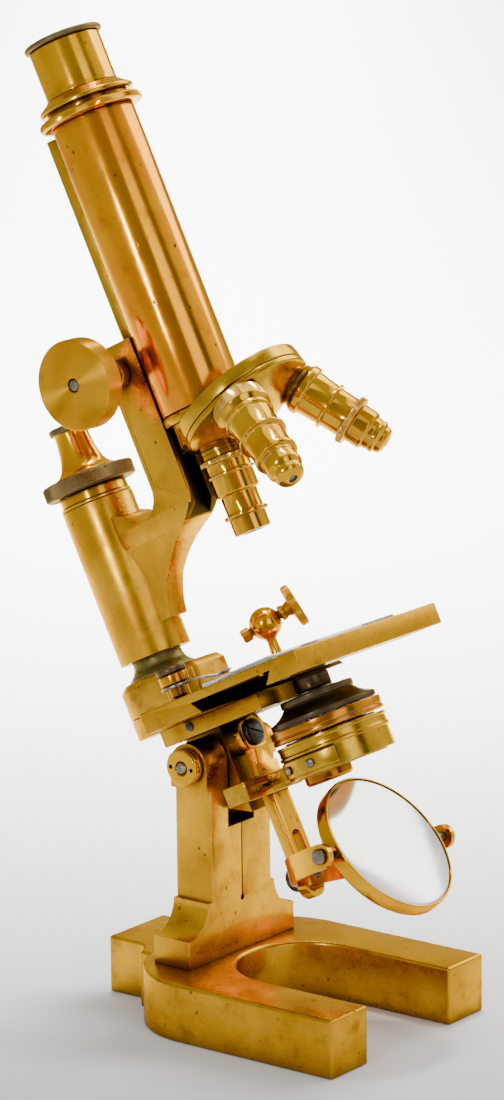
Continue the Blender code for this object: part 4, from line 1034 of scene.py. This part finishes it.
def facing(azimuth, elevation, distance):
    """The place of something that looks at the object from this direction."""
    away = direction(azimuth, elevation)
    aim = (-away).to_track_quat("-Z", "Y").to_matrix().to_4x4()
    return Matrix.Translation(TARGET + away * distance) @ aim


def camera():
    data = bpy.data.cameras.new("view")
    data.sensor_fit = "VERTICAL"
    data.sensor_height = 36.0
    data.lens = LENS
    data.shift_x = 0.029
    data.shift_y = 0.019
    data.clip_start = 0.05
    data.clip_end = 30.0
    roll = Matrix.Rotation(math.radians(ROLL), 4, "Z")
    bpy.context.scene.camera = put("view", data, facing(AZIMUTH, ELEVATION, DISTANCE) @ roll)


def area_light(name, place, width, height, power, colour=(1, 1, 1), spread=180):
    data = bpy.data.lights.new(name, "AREA")
    data.shape = "RECTANGLE"
    data.size = width
    data.size_y = height
    data.energy = power
    data.color = colour
    data.spread = math.radians(spread)
    put(name, data, place)


def floor():
    """A wide pale floor."""
    reach, sides = 9.0, 64
    turns = [t * math.tau / sides for t in range(sides)]
    mesh = bpy.data.meshes.new("floor")
    mesh.from_pydata([(reach * math.cos(t), reach * math.sin(t), 0) for t in turns], [], [list(range(sides))])
    ground = put("floor", mesh, Matrix.Translation((0, 0, -0.0002)))
    n = Nodes("pale_paper")
    cloud = n.noise(n.add("TexCoord").outputs["Object"], 2.5, 3.0)
    tone = n.mix(cloud, (0.88, 0.88, 0.87), (0.86, 0.86, 0.85))
    n.set(Base_Color=tone, Roughness=0.9, Specular_IOR_Level=0.1)
    mesh.materials.append(n.material)


def wash():
    """A narrow overhead light that whitens the floor behind the object."""
    away = direction(AZIMUTH, 0)
    turn = Matrix((Vector((-away.y, away.x, 0)), -away, Vector((0, 0, 1)))).transposed().to_4x4()
    area_light("wash", 0.5, 4.6, 120.0, 34, -away * 2.7 + Vector((0, 0, 2.2)), turn)


def wash():
    """A narrow overhead light that whitens the floor behind the object."""
    away = direction(AZIMUTH, 0)
    turn = Matrix((Vector((-away.y, away.x, 0)), -away, Vector((0, 0, 1)))).transposed().to_4x4()
    place = Matrix.Translation(-away * 2.7 + Vector((0, 0, 2.2))) @ turn
    area_light("wash", place, 0.5, 4.6, 120.0, spread=34)


def surroundings():
    """A studio room by direction: bright panels at the sides, with dark gaps between them."""
    n = Nodes("room", bpy.data.worlds, "Background")
    bpy.context.scene.world = n.material
    where = n.add("TexCoord").outputs["Generated"]
    away = direction(AZIMUTH, 0)

    def along(axis):
        return n.add("VectorMath", {0: where, 1: axis}, operation="DOT_PRODUCT").outputs["Value"]

    turn = n.math("ARCTAN2", along((-away.y, away.x, 0.0)), along(tuple(away)))
    turn = n.add("Math", {0: turn, 1: 0.5 / math.pi, 2: 0.5}, operation="MULTIPLY_ADD").outputs[0]
    around = n.add("ValToRGB", {0: turn})
    points = around.color_ramp.elements
    while len(points) > 1:
        points.remove(points[-1])
    for i, (degrees, level) in enumerate(ROOM):
        point = points[0] if i == 0 else points.new(0.5 + degrees / 360)
        point.position = 0.5 + degrees / 360
        point.color = (level, level * 0.985, level * 0.96, 1)
    lift = n.add("ValToRGB", {0: along((0.0, 0.0, 1.0))})
    for point, height, level in zip(lift.color_ramp.elements, (0.50, 0.85), (0, 1)):
        point.position = height
        point.color = (level, level, level, 1)
    ceiling = (CEILING, CEILING, CEILING * 0.98)
    n.set(Color=n.mix(lift.outputs[0], around.outputs[0], ceiling), Strength=ROOM_STRENGTH)


floor()
surroundings()
area_light("streak", facing(9, 16, 1.7), 0.08, 0.40, 6.0, (1.0, 0.98, 0.94))
area_light("glow", facing(168, 36, 1.6), 1.1, 1.1, 14.0)
area_light("overhead", facing(200, 80, 2.0), 1.6, 1.6, 10.0)
wash()
camera()
